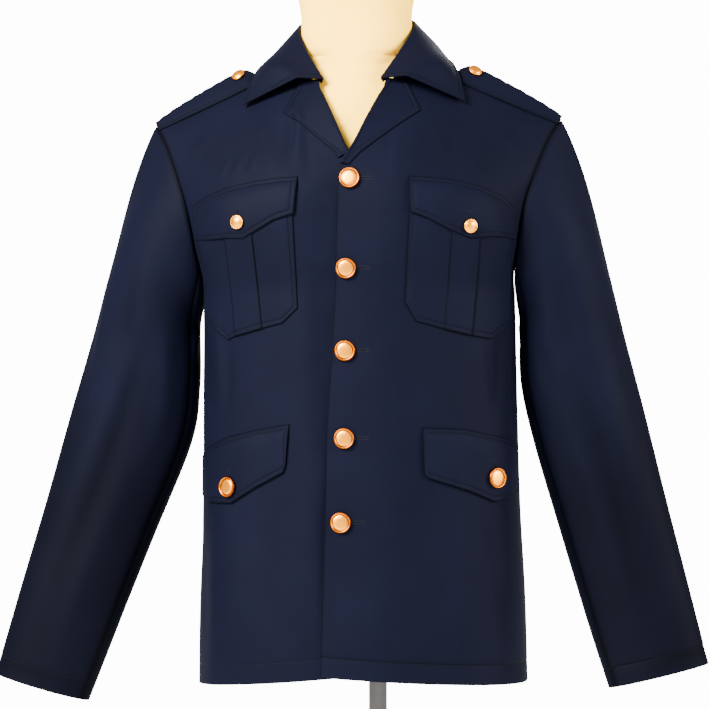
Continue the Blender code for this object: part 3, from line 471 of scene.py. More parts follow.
# Fine grids of the cloth, stitches and their grooves, and dips at seams, in metres
FINE = 0.004
PATCH_FINE = 0.0022
STITCH_FROM_EDGE = 0.0055
HEM_STITCH = 0.0225
EDGE_RADIUS = 0.0011
SHELL = 0.0014
STITCH_LONG = 0.0024
STITCH_GAP = 0.0007
STITCH_THICK = 0.00042
GROOVE = 0.00055
GROOVE_HALF = 0.0011
SEAM_DIP = 0.0010
SEAM_DIP_HALF = 0.0035

# Creases of the panels, one row a crease, seen from straight ahead or behind:
# x and z of its top, x and z of its foot, half width, height (a trough is negative)
CREASES = {
    "front_right": [
        (0.0610, 0.668, 0.0590, 0.590, 0.0060, 0.0026),
        (0.0690, 0.660, 0.0680, 0.585, 0.0050, -0.0016),
        (0.0500, 0.640, 0.0460, 0.560, 0.0070, -0.0010),
        (0.1080, 0.606, 0.1120, 0.585, 0.0030, 0.0011),
        (0.1170, 0.603, 0.1200, 0.584, 0.0026, -0.0009),
        (0.1270, 0.608, 0.1290, 0.582, 0.0032, 0.0012),
        (0.1370, 0.604, 0.1380, 0.578, 0.0026, -0.0010),
        (0.1450, 0.600, 0.1475, 0.576, 0.0030, 0.0009),
        (0.1580, 0.440, 0.1500, 0.300, 0.0060, 0.0020),
        (0.1450, 0.405, 0.1400, 0.305, 0.0050, -0.0015),
        (0.1690, 0.420, 0.1650, 0.290, 0.0040, -0.0016),
        (0.0480, 0.520, 0.0400, 0.060, 0.0150, 0.0020),
        (0.0290, 0.250, 0.0300, 0.010, 0.0070, -0.0018),
        (0.0850, 0.390, 0.1050, 0.180, 0.0120, -0.0012),
        (0.1300, 0.190, 0.1500, 0.015, 0.0110, 0.0024),
        (0.0980, 0.220, 0.0900, 0.030, 0.0120, -0.0016),
        (0.1760, 0.200, 0.1800, 0.020, 0.0080, -0.0020),
        (0.1550, 0.640, 0.1900, 0.600, 0.0090, 0.0016),
    ],
    "front_left": [
        (0.0550, 0.640, 0.0520, 0.560, 0.0060, 0.0012),
        (0.0960, 0.640, 0.1010, 0.592, 0.0050, 0.0012),
        (0.1090, 0.632, 0.1120, 0.590, 0.0045, -0.0009),
        (0.1210, 0.628, 0.1240, 0.588, 0.0050, 0.0010),
        (0.0600, 0.430, 0.0740, 0.250, 0.0100, -0.0013),
        (0.1440, 0.400, 0.1500, 0.300, 0.0060, 0.0014),
        (0.1650, 0.410, 0.1600, 0.300, 0.0050, -0.0014),
        (0.1150, 0.200, 0.1250, 0.030, 0.0110, 0.0020),
        (0.0650, 0.240, 0.0600, 0.040, 0.0120, -0.0014),
        (0.1550, 0.210, 0.1700, 0.020, 0.0090, -0.0020),
        (0.1550, 0.640, 0.1900, 0.600, 0.0090, 0.0016),
    ],
    "back": [
        (-0.0300, 0.420, -0.0450, 0.020, 0.0120, 0.0022),
        (0.0500, 0.430, 0.0600, 0.010, 0.0110, -0.0024),
        (0.1100, 0.400, 0.1250, 0.030, 0.0100, 0.0026),
        (-0.0900, 0.410, -0.1100, 0.010, 0.0130, -0.0028),
        (-0.1400, 0.440, -0.1500, 0.200, 0.0080, 0.0022),
        (0.1550, 0.430, 0.1600, 0.220, 0.0070, -0.0020),
        (0.0000, 0.360, 0.0050, 0.120, 0.0090, -0.0014),
        (-0.1750, 0.480, -0.0900, 0.430, 0.0090, 0.0024),
        (0.1750, 0.480, 0.0900, 0.425, 0.0090, 0.0024),
        (-0.1780, 0.510, -0.1100, 0.470, 0.0070, -0.0016),
        (0.1780, 0.505, 0.1000, 0.460, 0.0070, -0.0016),
        (-0.0600, 0.700, -0.1500, 0.600, 0.0110, 0.0016),
        (0.0600, 0.700, 0.1500, 0.600, 0.0110, 0.0016),
    ],
}

# Creases of the sleeves, one row a crease, on the opened cloth:
# degrees round and section at its top and at its foot, half width in metres, height
SLEEVE_CREASES = {
    "right": [
        (60, 0.35, 78, 2.6, 0.0080, -0.0022),
        (95, 1.2, 70, 5.2, 0.0075, -0.0026),
        (72, 1.4, 55, 4.6, 0.0110, 0.0024),
        (38, 0.50, 42, 3.2, 0.0120, 0.0020),
        (120, 0.9, 112, 3.6, 0.0080, 0.0022),
        (20, 1.0, 24, 4.4, 0.0090, -0.0018),
        (105, 3.0, 96, 5.9, 0.0090, 0.0016),
        (-40, 0.6, -36, 4.0, 0.0110, 0.0024),
        (-70, 0.9, -82, 4.6, 0.0100, -0.0024),
        (-100, 1.0, -98, 3.0, 0.0090, 0.0020),
        (175, 0.8, 150, 1.7, 0.0070, 0.0022),
        (195, 0.9, 225, 1.8, 0.0070, -0.0020),
    ],
    "left": [
        (85, 0.35, 95, 2.2, 0.0080, -0.0020),
        (112, 0.6, 118, 2.0, 0.0070, 0.0022),
        (60, 0.6, 74, 4.0, 0.0120, 0.0024),
        (88, 2.0, 78, 5.6, 0.0080, -0.0024),
        (104, 2.4, 100, 5.2, 0.0080, 0.0018),
        (30, 0.8, 36, 4.2, 0.0110, -0.0018),
        (125, 1.4, 116, 2.6, 0.0060, -0.0018),
        (-45, 0.5, -38, 4.2, 0.0110, 0.0024),
        (-72, 0.9, -80, 4.8, 0.0100, -0.0024),
        (-105, 1.0, -100, 3.2, 0.0090, 0.0020),
        (175, 0.8, 152, 1.6, 0.0070, 0.0022),
        (195, 0.9, 222, 1.8, 0.0070, -0.0020),
    ],
}


def to_world(points):
    """The shirt's frame set on the pole."""
    x, y, z = np.moveaxis(np.asarray(points, float), -1, 0)
    cosine, sine = math.cos(FORM_LEAN), math.sin(FORM_LEAN)
    return np.stack(
        [x * cosine + z * sine + FORM_OFFSET, y, -x * sine + z * cosine + HEM_HEIGHT], -1
    )


# Curves, grids and relief


def steps_between(start, end, step):
    count = max(1, int(round(abs(end - start) / step)))
    return np.linspace(start, end, count + 1)


def clustered(length, step, marks=(STITCH_FROM_EDGE,)):
    """Places along a length, dense at both ends and round the marks in from each end."""
    near = [0.0, 0.3e-3, 0.7e-3, 1.3e-3, 2.4e-3]
    for mark in marks:
        near += [mark - 1.6e-3, mark - 0.8e-3, mark, mark + 0.8e-3, mark + 1.6e-3]
    near = sorted(n for n in near if n < length * 0.48)
    middle = steps_between(near[-1], length - near[-1], step)
    return np.concatenate([near[:-1], middle, [length - n for n in near[::-1][1:]]])


def arc_lengths(points, axis):
    steps = np.linalg.norm(np.diff(points, axis=axis), axis=-1)
    total = np.cumsum(steps, axis=axis)
    pad = [(1, 0) if i == axis else (0, 0) for i in range(2)]
    return np.pad(total, pad)


def edge_distances(points):
    """How far each point of a grid lies from its left, right, top and bottom edges."""
    across, down = arc_lengths(points, 1), arc_lengths(points, 0)
    return across, across[:, -1:] - across, down, down[-1:] - down


def rounded(distance):
    """1 inside a cloth edge, falling to 0 on the edge along a quarter circle."""
    near = 1 - np.clip(distance / EDGE_RADIUS, 0.0, 1.0)
    return np.sqrt(np.maximum(1 - near**2, 0.0))


def groove(distance, at):
    return -GROOVE * np.exp(-(((distance - at) / GROOVE_HALF) ** 2))


def line_shade(distance, at, half):
    """1 on a line at a distance in from an edge, fading to 0 beside it."""
    return np.exp(-(((distance - at) / half) ** 2))


def crease_lift(rows, x, z):
    """How far the rows' creases lift the cloth at x and z."""
    lift = np.zeros(np.broadcast(x, z).shape)
    for x_top, z_top, x_foot, z_foot, half, height in rows:
        run = np.array([x_foot - x_top, z_foot - z_top])
        length = np.hypot(*run)
        run = run / length
        along = (x - x_top) * run[0] + (z - z_top) * run[1]
        aside = (x - x_top) * -run[1] + (z - z_top) * run[0]
        aside = aside + 0.25 * half * np.sin(along / length * 5.0 + x_top * 90)
        fade = ease(along / length * 3.5) * ease((1 - along / length) * 2.2)
        lift = lift + height * fade * np.exp(-((aside / half) ** 2))
    return lift


def ripple(a, b, height, seed):
    """Low uneven waves over the cloth, from a few crossing sines."""
    turn = seed * 1.7
    return height * (
        np.sin(a * 47 + turn + 1.8 * np.sin(b * 11 + turn))
        + 0.7 * np.sin(a * 83 - b * 17 + 2.3 * turn)
        + 0.5 * np.sin(b * 31 + a * 19 + 0.9 * turn)
    ) / 2.2


def smooth(table, at):
    """Rows of a table at the given values of its first column, on a smooth curve."""
    rows = np.array(table, dtype=float)
    keys, values = rows[:, 0], rows[:, 1:]
    slopes = np.gradient(values, keys, axis=0)
    at = np.clip(np.asarray(at, dtype=float), keys[0], keys[-1])
    low = np.clip(np.searchsorted(keys, at, side="right") - 1, 0, len(keys) - 2)
    span = keys[low + 1] - keys[low]
    t = ((at - keys[low]) / span)[..., None]
    span = span[..., None]
    return (
        (1 + 2 * t) * (1 - t) ** 2 * values[low]
        + t * (1 - t) ** 2 * span * slopes[low]
        + t**2 * (3 - 2 * t) * values[low + 1]
        + t**2 * (t - 1) * span * slopes[low + 1]
    )


def ease(t):
    t = np.clip(t, 0.0, 1.0)
    return t * t * (3 - 2 * t)


def ramp(value, span):
    """0 before a span, 1 after it, and an eased rise between."""
    return ease((value - span[0]) / (span[1] - span[0]))


def unit(vectors):
    return vectors / np.maximum(np.linalg.norm(vectors, axis=-1, keepdims=True), 1e-12)


def levels(first, rows):
    """A table of evenly spaced levels from a first point and the rows that follow it."""
    points = [tuple(first), *rows]
    return [(i / (len(points) - 1), *p) for i, p in enumerate(points)]


def girth_table(power):
    """Shares of a half front's or back's girth against the section's angle."""
    angle = np.linspace(0.0, math.pi / 2, 181)
    half, depth = BODY[3][1], BODY[3][2]
    x = half * np.sin(angle) ** (2 / power)
    y = depth * np.cos(angle) ** (2 / power)
    length = np.concatenate([[0.0], np.cumsum(np.hypot(np.diff(x), np.diff(y)))])
    return length / length[-1], angle, length[-1]


FRONT_SHARES, FRONT_ANGLES, HALF_GIRTH = girth_table(FRONT_POWER)
BACK_SHARES, BACK_ANGLES, _ = girth_table(BACK_POWER)


# Surfaces of the shirt


def folds(w, z, side):
    """How far the cloth stands out of its plain section at a share of girth and a height."""
    out = np.zeros(np.broadcast(w, z).shape)
    for fold_side, w_top, w_foot, top, foot, width, height in FOLDS:
        if fold_side != side:
            continue
        down = (top - z) / (top - foot)
        middle = w_top + (w_foot - w_top) * down
        along = ease(down * 3.0) * ease((1.0 - down) * 3.0)
        out = out + height * along * np.exp(-(((w - middle) / width) ** 2))
    return out


def body(w, z, side):
    """The shirt below the underarm. w is 0 at the middle and 1 at the side seam."""
    row = smooth(BODY, z)
    half = row[..., 0]
    if side == 0:
        depth, power = row[..., 2], BACK_POWER
        angle = np.interp(np.abs(w), BACK_SHARES, BACK_ANGLES)
    else:
        depth, power = -row[..., 1], FRONT_POWER
        angle = np.interp(np.abs(w), FRONT_SHARES, FRONT_ANGLES)
    across = np.sin(angle) ** (2 / power)
    deep = np.maximum(np.cos(angle), 0.0) ** (2 / power)
    outward = unit(np.stack([across ** (power - 1) / half, deep ** (power - 1) / depth], -1))
    out = folds(w, z, side)
    x = half * across + out * outward[..., 0]
    y = depth * deep + out * outward[..., 1]
    return np.stack([np.sign(w) * x, y, z], -1)


def shoulder_seam(q):
    """The shoulder seam from the armhole, q 0, to the neck, q 1."""
    q = np.asarray(q, dtype=float)[..., None]
    start, end = np.array(FRONT_ARMHOLE[-1]), np.array(FRONT_EDGE[-1])
    bow = np.array([0.0, 0.0, SHOULDER_BOW]) * 4 * q * (1 - q)
    return start + (end - start) * q + bow


def coons(u, t, left, right, bottom, top):
    """A patch between its armhole side, its inner side, its lower row and its upper row."""
    u1, a1 = u[..., None], ease(t)[..., None]
    plain = (1 - u1) * smooth(left, t) + u1 * smooth(right, t)
    low = bottom(u) - (1 - u1) * bottom(np.zeros_like(u)) - u1 * bottom(np.ones_like(u))
    high = top(u) - (1 - u1) * top(np.zeros_like(u)) - u1 * top(np.ones_like(u))
    return plain + (1 - a1) * low + t[..., None] ** TOP_HOLD * high


def edge_share(side, z):
    table = LAP_EDGE_LEFT if side > 0 else LAP_EDGE_RIGHT
    return smooth(table, z)[..., 0] / HALF_GIRTH


def plain_front(side, u, v):
    """A front. u is 0 at side seam and armhole, 1 at the edge; v is 0 at the hem, 1 at the
    underarm and 2 at the shoulder seam. Own side positive, so x is mirrored by the caller."""
    u, v = np.broadcast_arrays(np.asarray(u, float), np.asarray(v, float))

    def row(share, z):
        w = (1 - share) + share * edge_share(side, z)
        return body(w, z, side)

    def underarm_row(share):
        return row(share, np.full_like(share, UNDERARM))

    hem = HEM_RISE * np.clip(u, 0.0, 1.0) ** 1.5
    low = row(u, hem + (UNDERARM - hem) * np.minimum(v, 1.0))
    corner = underarm_row(np.array([0.0, 1.0]))
    high = coons(
        u,
        np.clip(v - 1.0, 0.0, 1.0),
        levels(corner[0], FRONT_ARMHOLE),
        levels(corner[1], FRONT_EDGE),
        underarm_row,
        shoulder_seam,
    )
    share = (1 - u) + u * edge_share(side, UNDERARM)
    crease = folds(share, high[..., 2], side) * ease(v - 1.0)
    high = high + crease[..., None] * np.array([0.0, -1.0, 0.0])
    return np.where((v <= 1.0)[..., None], low, high)


def plain_back(side, u, v):
    """Half of the back. u is 0 at side seam and armhole, 1 at the middle of the back."""
    u, v = np.broadcast_arrays(np.asarray(u, float), np.asarray(v, float))

    def underarm_row(share):
        return mirrored(body((1 - share) * side, np.full_like(share, UNDERARM), 0), side)

    def top(share):
        neck = smooth(BACK_NECKLINE, (share - SHOULDER_SHARE) / (1 - SHOULDER_SHARE))
        seam = shoulder_seam(np.minimum(share / SHOULDER_SHARE, 1.0))
        return np.where((share <= SHOULDER_SHARE)[..., None], seam, neck)

    low = mirrored(body((1 - u) * side, UNDERARM * np.minimum(v, 1.0), 0), side)
    corner = underarm_row(np.array([0.0, 1.0]))
    high = coons(
        u,
        np.clip(v - 1.0, 0.0, 1.0),
        levels(corner[0], BACK_ARMHOLE),
        levels(corner[1], CENTRE_BACK),
        underarm_row,
        top,
    )
    return np.where((v <= 1.0)[..., None], low, high)


def settled(surface, side, u, v):
    """A panel without the corner that its upper part makes with the body at the underarm."""
    rise = np.clip(v - 1.0, 0.0, SETTLE_SPAN)
    rise = rise * (1 - rise / SETTLE_SPAN) ** 2
    out = np.stack([np.interp(u, SETTLE_U, row) for row in settle_table(surface, side).T], -1)
    return surface(side, u, v) - rise[..., None] * out


def settle_table(surface, side):
    """How far out each column leads where it starts above the underarm."""
    key = surface.__name__, side
    if key not in SETTLED:
        one, step = np.ones_like(SETTLE_U), 1e-4
        here = surface(side, SETTLE_U, one)
        below = here - surface(side, SETTLE_U, one - step)
        above = surface(side, SETTLE_U, one + step) - here
        along = surface(side, SETTLE_U + step, one) - surface(side, SETTLE_U - step, one)
        out = unit(np.cross(below, along))
        SETTLED[key] = out * np.sum(out * above, -1, keepdims=True) / step
    return SETTLED[key]


def front(side, u, v):
    """A front, in its own side's frame."""
    u, v = np.broadcast_arrays(np.asarray(u, float), np.asarray(v, float))
    return settled(plain_front, side, u, v)


def back(side, u, v):
    """Half of the back, in its own side's frame."""
    u, v = np.broadcast_arrays(np.asarray(u, float), np.asarray(v, float))
    return settled(plain_back, side, u, v)


def mirrored(points, side):
    return points * np.array([side, 1.0, 1.0])


def seam_normal():
    """The direction in which the shoulder seam faces, shared by front and back."""
    along = unit(shoulder_seam(0.0) - shoulder_seam(1.0))
    return unit(np.cross(along, np.array([0.0, 1.0, 0.0])))


def panel_normal(surface, side, u, v):
    """Outward normals of a front or a back, level with each other at the shoulder seam."""
    step = 1e-4
    across = surface(side, u + step, v) - surface(side, u - step, v)
    up = surface(side, u, v + step) - surface(side, u, v - step)
    normal = unit(np.cross(up, across))
    here = surface(side, u, v)
    chest = np.array([0.0, 0.0, UNDERARM])
    from_chest = (here - chest) * np.where(here[..., 2:] > UNDERARM, 1.0, [1.0, 1.0, 0.0])
    normal = normal * np.sign(np.sum(normal * from_chest, axis=-1, keepdims=True))
    weight = ramp(np.asarray(v), (SEAM_TURN, 2.0))[..., None]
    return unit(normal * (1 - weight) + seam_normal() * weight)


def on_panel(surface, side, u, v, out):
    """A panel's points moved out along its normals, in the shirt's frame."""
    u, v = np.broadcast_arrays(np.asarray(u, float), np.asarray(v, float))
    out = np.broadcast_to(np.asarray(out, float), u.shape)
    points = surface(side, u, v) + out[..., None] * panel_normal(surface, side, u, v)
    return mirrored(points, side)


def lap_lift(side, u, v):
    """The wearer's left front lies over the right one near its edge."""
    below_neck = 1 - ramp(v, LAP_TOP)
    if side < 0:
        return -UNDERLAP_DROP * ramp(u, LAP_DROP) * below_neck
    return OVERLAP_LIFT * ramp(u, LAP_RISE) * below_neck


def spot(side, x, z):
    """The u and v of a front where it is seen at x and z from straight ahead."""
    x, z = np.broadcast_arrays(np.asarray(x, float), np.asarray(z, float))
    u, v = np.full(x.shape, 0.6), np.clip(z / UNDERARM, 0.05, 1.4)
    step = 1e-4
    for _ in range(14):
        here = front(side, u, v)
        by_u = (front(side, u + step, v) - here) / step
        by_v = (front(side, u, v + step) - here) / step
        off_x, off_z = x - here[..., 0], z - here[..., 2]
        det = by_u[..., 0] * by_v[..., 2] - by_v[..., 0] * by_u[..., 2]
        du = (off_x * by_v[..., 2] - off_z * by_v[..., 0]) / det
        dv = (off_z * by_u[..., 0] - off_x * by_u[..., 2]) / det
        u = np.clip(u + np.clip(du, -0.15, 0.15), -0.05, 1.2)
        v = np.clip(v + np.clip(dv, -0.15, 0.15), 0.0, 1.999)
    return u, v


def skirt_spot(side, across, z):
    """The u and v of a front at a distance from the middle along the cloth and a height."""
    w = np.asarray(across) / HALF_GIRTH
    u = (1 - w) / (1 - edge_share(side, z))
    hem = HEM_RISE * np.clip(u, 0.0, 1.0) ** 1.5
    return u, (z - hem) / (UNDERARM - hem)


def grid_normals(points):
    """Normals of a grid of points, from its neighbours."""
    return unit(np.cross(np.gradient(points, axis=1), np.gradient(points, axis=0)))


def armhole(side, phi):
    """Armhole points and panel normals. phi is 0 at the shoulder, 180 at the underarm."""
    phi = np.asarray(phi, float) % 360.0
    ahead = phi <= 180.0
    v_front = 2.0 - np.minimum(phi, 180.0) / 180.0
    v_back = 1.0 + np.maximum(phi - 180.0, 0.0) / 180.0
    zero = np.zeros_like(phi)
    points = np.where(ahead[:, None], front(side, zero, v_front), back(side, zero, v_back))
    normals = np.where(
        ahead[:, None],
        panel_normal(front, side, zero, v_front),
        panel_normal(back, side, zero, v_back),
    )
    return points, normals


def sleeve(key, phi, t):
    """A sleeve's points: t is 0 at the armhole and 1 to 6 at the sections of its table."""
    rows = [(i + 1, *row) for i, row in enumerate(SLEEVES[key])]
    angle = np.radians(phi)

    def ring(at):
        x1, z1, x2, z2, y, deep = smooth(rows, at)
        centre = np.array([(x1 + x2) / 2, y, (z1 + z2) / 2])
        reach = np.array([(x1 - x2) / 2, 0.0, (z1 - z2) / 2])
        return (
            centre
            + np.cos(angle)[:, None] * reach
            + np.sin(angle)[:, None] * np.array([0.0, -deep, 0.0])
        )

    if t >= 1.0:
        return ring(t)
    start, _ = armhole(SIDES[key], phi)
    end = ring(1.0)
    under = ((1 - np.cos(angle)) / 2)[:, None]
    over = (np.maximum(np.cos(angle), 0.0) ** 2)[:, None]
    leave = np.array(LEAVE_OVER) * (1 - under - over) + np.array(LEAVE_UNDER) * under
    leave = leave + np.array(LEAVE_TOP) * over
    length = np.linalg.norm(end - start, axis=1, keepdims=True)
    start = start + leave * SEAM_GAP + under**4 * np.array([SEAM_GAP * 2, 0.0, 0.0])
    arrive = (ring(1.05) - ring(1.0)) / 0.05
    leave, arrive = leave * length, unit(arrive) * length
    return (
        (1 + 2 * t) * (1 - t) ** 2 * start
        + t * (1 - t) ** 2 * leave
        + t**2 * (3 - 2 * t) * end
        + t**2 * (t - 1) * arrive
    )


def sleeve_normal(key, phi, t):
    around = sleeve(key, phi + 2.0, t) - sleeve(key, phi - 2.0, t)
    along = sleeve(key, phi, min(t + 0.03, 6.0)) - sleeve(key, phi, max(t - 0.03, 0.0))
    return unit(np.cross(around, along))


def strap_point(side, q, across, out):
    """A point over the shoulder: q along the seam, across in metres, forwards positive."""
    reach = np.abs(across) / (ARMHOLE_RISE + (NECK_RISE - ARMHOLE_RISE) * q)
    ahead = on_panel(front, side, q, 2.0 - reach, out)
    behind = on_panel(back, side, q * SHOULDER_SHARE, 2.0 - reach, out)
    return np.where((across >= 0)[..., None], ahead, behind)


def strap_surface(side, q, across, extra):
    """A strap's points: q along the shoulder seam, across from -1 behind to 1 in front."""
    rows = np.array(EPAULETTE)
    half, crown, ahead, stand = (np.interp(q, rows[:, 0], rows[:, i]) for i in range(1, 5))
    rise = EPAULETTE_CLEAR + crown * (1 - across**2) + stand * half * (1 - across)
    return strap_point(side, q, half * across + ahead, rise + extra)


def strap_top(side, q, extra):
    """A point on a strap's middle line and the strap's normal there."""
    q = q + np.array([0.0, 0.03, -0.03, 0.0, 0.0])
    across = np.array([0.0, 0.0, 0.0, 0.35, -0.35])
    here, outer, inner, ahead, behind = strap_surface(side, q, across, extra)
    normal = unit(np.cross(outer - inner, ahead - behind))
    return here, normal * np.sign(normal[2])


# Blender objects


def mesh_object(name, points, faces, finish, uv=None):
    mesh = bpy.data.meshes.new(name)
    mesh.from_pydata(points.tolist(), [], faces)
    if uv is not None:
        layer = mesh.uv_layers.new(name="cloth")
        corner = np.zeros(len(mesh.loops), dtype=np.int32)
        mesh.loops.foreach_get("vertex_index", corner)
        layer.data.foreach_set("uv", uv[corner].astype(np.float32).ravel())
    mesh.materials.append(finish)
    bm = bmesh.new()
    bm.from_mesh(mesh)
    bmesh.ops.recalc_face_normals(bm, faces=bm.faces)
    bm.to_mesh(mesh)
    bm.free()
    mesh.shade_smooth()
    mesh.set_sharp_from_angle(angle=math.radians(55))
    made = bpy.data.objects.new(name, mesh)
    bpy.context.scene.collection.objects.link(made)
    return made


def grid_faces(index):
    a, b, c, d = index[:-1, :-1], index[:-1, 1:], index[1:, 1:], index[1:, :-1]
    return np.stack([a, b, c, d], -1).reshape(-1, 4)


def shell(name, outer, inner, finish, shade):
    """A closed thin wall between two grids in the shirt's frame, set in the world. shade is
    painted shade on the outer grid: 1 darkest, as in a seam or at a folded edge, 0 on the open
    cloth."""
    rows, columns = outer.shape[:2]
    count = rows * columns
    index = np.arange(count).reshape(rows, columns)
    top = grid_faces(index)
    faces = [top, top[:, ::-1] + count]
    for loop in (index[0], index[-1], index[:, 0], index[:, -1]):
        a, b = loop[:-1], loop[1:]
        faces.append(np.stack([a, b, b + count, a + count], -1))
    faces = np.concatenate(faces).tolist()
    points = np.concatenate([outer.reshape(-1, 3), inner.reshape(-1, 3)])
    across, down = arc_lengths(outer, 1), arc_lengths(outer, 0)
    middle = across[:, columns // 2 : columns // 2 + 1]
    flat = np.stack([across - middle, down[:, columns // 2][:, None] + 0 * across], -1)
    uv = np.tile(flat.reshape(-1, 2), (2, 1))
    made = mesh_object(name, to_world(points), faces, finish, uv)
    # Painted shade for each point, clipped to 0..1; the inner grid gets INSIDE_SHADE, painted
    # shade for the shirt's inside and the cut rims.
    layer = made.data.attributes.new("shade", "FLOAT", "POINT")
    dark = np.concatenate([np.clip(shade, 0.0, 1.0).ravel(), np.full(count, INSIDE_SHADE)])
    layer.data.foreach_set("value", dark.astype(np.float32))
    return made


def line_points(points, normals, step):
    """Points a step apart along a line of points, with the way ahead and the normals there."""
    total = np.concatenate([[0.0], np.cumsum(np.linalg.norm(np.diff(points, axis=0), axis=1))])
    at = np.arange(step / 2, total[-1], step)

    def read(values, places):
        return np.stack([np.interp(places, total, values[:, i]) for i in range(3)], -1)

    spots = read(points, at)
    return spots, unit(read(points, at + step / 4) - spots), unit(read(normals, at))


# A stitch's outline: place along it and width, in shares of its length and thickness
CAPSULE = ((-0.5, 0.45), (-0.36, 0.9), (0.36, 0.9), (0.5, 0.45))
CAPSULE_SIDES = 5


class Stitches:
    """Collects stitches and joins them in one mesh."""

    def __init__(self):
        self.points = []

    def line(self, points, normals):
        """A row of stitches along a line that lies on the cloth."""
        middles, ahead, up = line_points(points, normals, STITCH_LONG + STITCH_GAP)
        self.many(middles, ahead * STITCH_LONG, up)

    def many(self, middles, runs, normals, thick=STITCH_THICK):
        lift = normals * thick / 2
        aside = unit(np.cross(normals, runs)) * thick / 2
        turn = np.linspace(0.0, 2 * math.pi, CAPSULE_SIDES, endpoint=False)
        rings = [
            middles[:, None] + runs[:, None] * along + wide * (
                lift[:, None] * np.cos(turn)[:, None] + aside[:, None] * np.sin(turn)[:, None]
            )
            for along, wide in CAPSULE
        ]
        self.points.append(np.stack(rings, axis=1))

    def make(self, name, finish):
        points = np.concatenate(self.points)
        count, rings, sides = points.shape[:3]
        index = np.arange(count * rings * sides).reshape(count, rings, sides)
        after = np.roll(index, -1, axis=2)
        quads = np.stack([index[:, :-1], after[:, :-1], after[:, 1:], index[:, 1:]], -1)
        faces = quads.reshape(-1, 4).tolist()
        faces += index[:, 0].tolist() + index[:, -1].tolist()
        return mesh_object(name, to_world(points.reshape(-1, 3)), faces, finish)


# Materials


def shader_of(made):
    return made.node_tree.nodes["Principled BSDF"]


def new_material(name, colour, metallic=0.0, roughness=0.6):
    made = bpy.data.materials.new(name)
    made.use_nodes = True
    made.diffuse_color = (*colour, 1.0)
    shader = shader_of(made)
    shader.inputs["Base Color"].default_value = (*colour, 1.0)
    shader.inputs["Metallic"].default_value = metallic
    shader.inputs["Roughness"].default_value = roughness
    return made


def node(made, kind, **settings):
    new = made.node_tree.nodes.new(kind)
    for key, value in settings.items():
        if key in new.inputs:
            new.inputs[key].default_value = value
        else:
            setattr(new, key, value)
    return new


def link(made, source, target):
    made.node_tree.links.new(source, target)


def set_inputs(target, values):
    for name, value in values.items():
        target.inputs[name].default_value = value


def object_place(made):
    return node(made, "ShaderNodeTexCoord").outputs["Object"]


def noise(made, vector, scale, detail=3.0, roughness=0.55):
    new = node(made, "ShaderNodeTexNoise", Scale=scale, Detail=detail, Roughness=roughness)
    link(made, vector, new.inputs["Vector"])
    return new.outputs["Fac"]


def colours_between(made, factor, dark, light, low=0.3, high=0.7):
    ramp_node = node(made, "ShaderNodeValToRGB")
    first, last = ramp_node.color_ramp.elements
    first.position, first.color = low, (*dark, 1.0)
    last.position, last.color = high, (*light, 1.0)
    link(made, factor, ramp_node.inputs["Fac"])
    return ramp_node.outputs["Color"]


def wave_bands(made, vector, direction, scale, distortion=2.0, detail=2.0):
    new = node(made, "ShaderNodeTexWave", wave_type="BANDS", bands_direction=direction,
               Scale=scale, Distortion=distortion, Detail=detail)
    link(made, vector, new.inputs["Vector"])
    return new.outputs["Fac"]


def uneven_gloss(made, source, low, high):
    """Roughness between two values, as a source varies."""
    rough = node(made, "ShaderNodeMapRange")
    set_inputs(rough, {"To Min": low, "To Max": high})
    link(made, source, rough.inputs["Value"])
    link(made, rough.outputs["Result"], shader_of(made).inputs["Roughness"])


def bump(made, height, distance, strength, under=None):
    new = node(made, "ShaderNodeBump", Distance=distance, Strength=strength)
    link(made, height, new.inputs["Height"])
    if under is not None:
        link(made, under, new.inputs["Normal"])
    return new.outputs["Normal"]


def cloth_material():
    """Navy twill: fine diagonal ribs, uneven yarns and a slight bluish sheen, mixed towards a dark
    colour by the painted shade attribute.
    """
    made = new_material("navy_twill", CLOTH_LIGHT, roughness=0.62)
    shader = shader_of(made)
    cloth = node(made, "ShaderNodeUVMap", uv_map="cloth").outputs["UV"]
    broad = noise(made, cloth, 9.0, 4.0)
    yarn = noise(made, cloth, 1400.0, 2.0)
    mixed = node(made, "ShaderNodeMath", operation="MULTIPLY_ADD")
    mixed.inputs[1].default_value = 0.35
    link(made, yarn, mixed.inputs[0])
    link(made, broad, mixed.inputs[2])
    woven = colours_between(made, mixed.outputs[0], CLOTH_DARK, CLOTH_LIGHT, 0.35, 1.0)
    # Painted shade: the shade attribute mixes the twill towards the painted shade colour.
    seams = node(made, "ShaderNodeAttribute", attribute_name="shade")
    shaded = node(made, "ShaderNodeMix", data_type="RGBA")
    shaded.inputs["B"].default_value = PAINTED_SHADE_COLOUR
    link(made, seams.outputs["Fac"], shaded.inputs["Factor"])
    link(made, woven, shaded.inputs["A"])
    link(made, shaded.outputs["Result"], shader.inputs["Base Color"])
    ribs = bump(made, wave_bands(made, cloth, "DIAGONAL", TWILL_SCALE, 1.2, 1.0), 0.00006, 0.45)
    link(made, bump(made, broad, 0.0010, 0.25, ribs), shader.inputs["Normal"])
    set_inputs(shader, {
        "Sheen Weight": CLOTH_SHEEN,
        "Sheen Roughness": 0.35,
        "Sheen Tint": (0.45, 0.55, 0.95, 1.0),
        "Specular IOR Level": CLOTH_GLOSS,
    })
    return made


def thread_material():
    made = new_material("navy_thread", (0.004, 0.005, 0.011), roughness=0.6)
    shader = shader_of(made)
    where = object_place(made)
    twist = noise(made, where, 2600.0, 1.0)
    link(made, colours_between(made, twist, (0.0010, 0.0013, 0.0034), (0.0022, 0.0029, 0.0070)),
         shader.inputs["Base Color"])
    link(made, bump(made, twist, 0.00005, 0.5), shader.inputs["Normal"])
    shader.inputs["Specular IOR Level"].default_value = 0.08
    return made
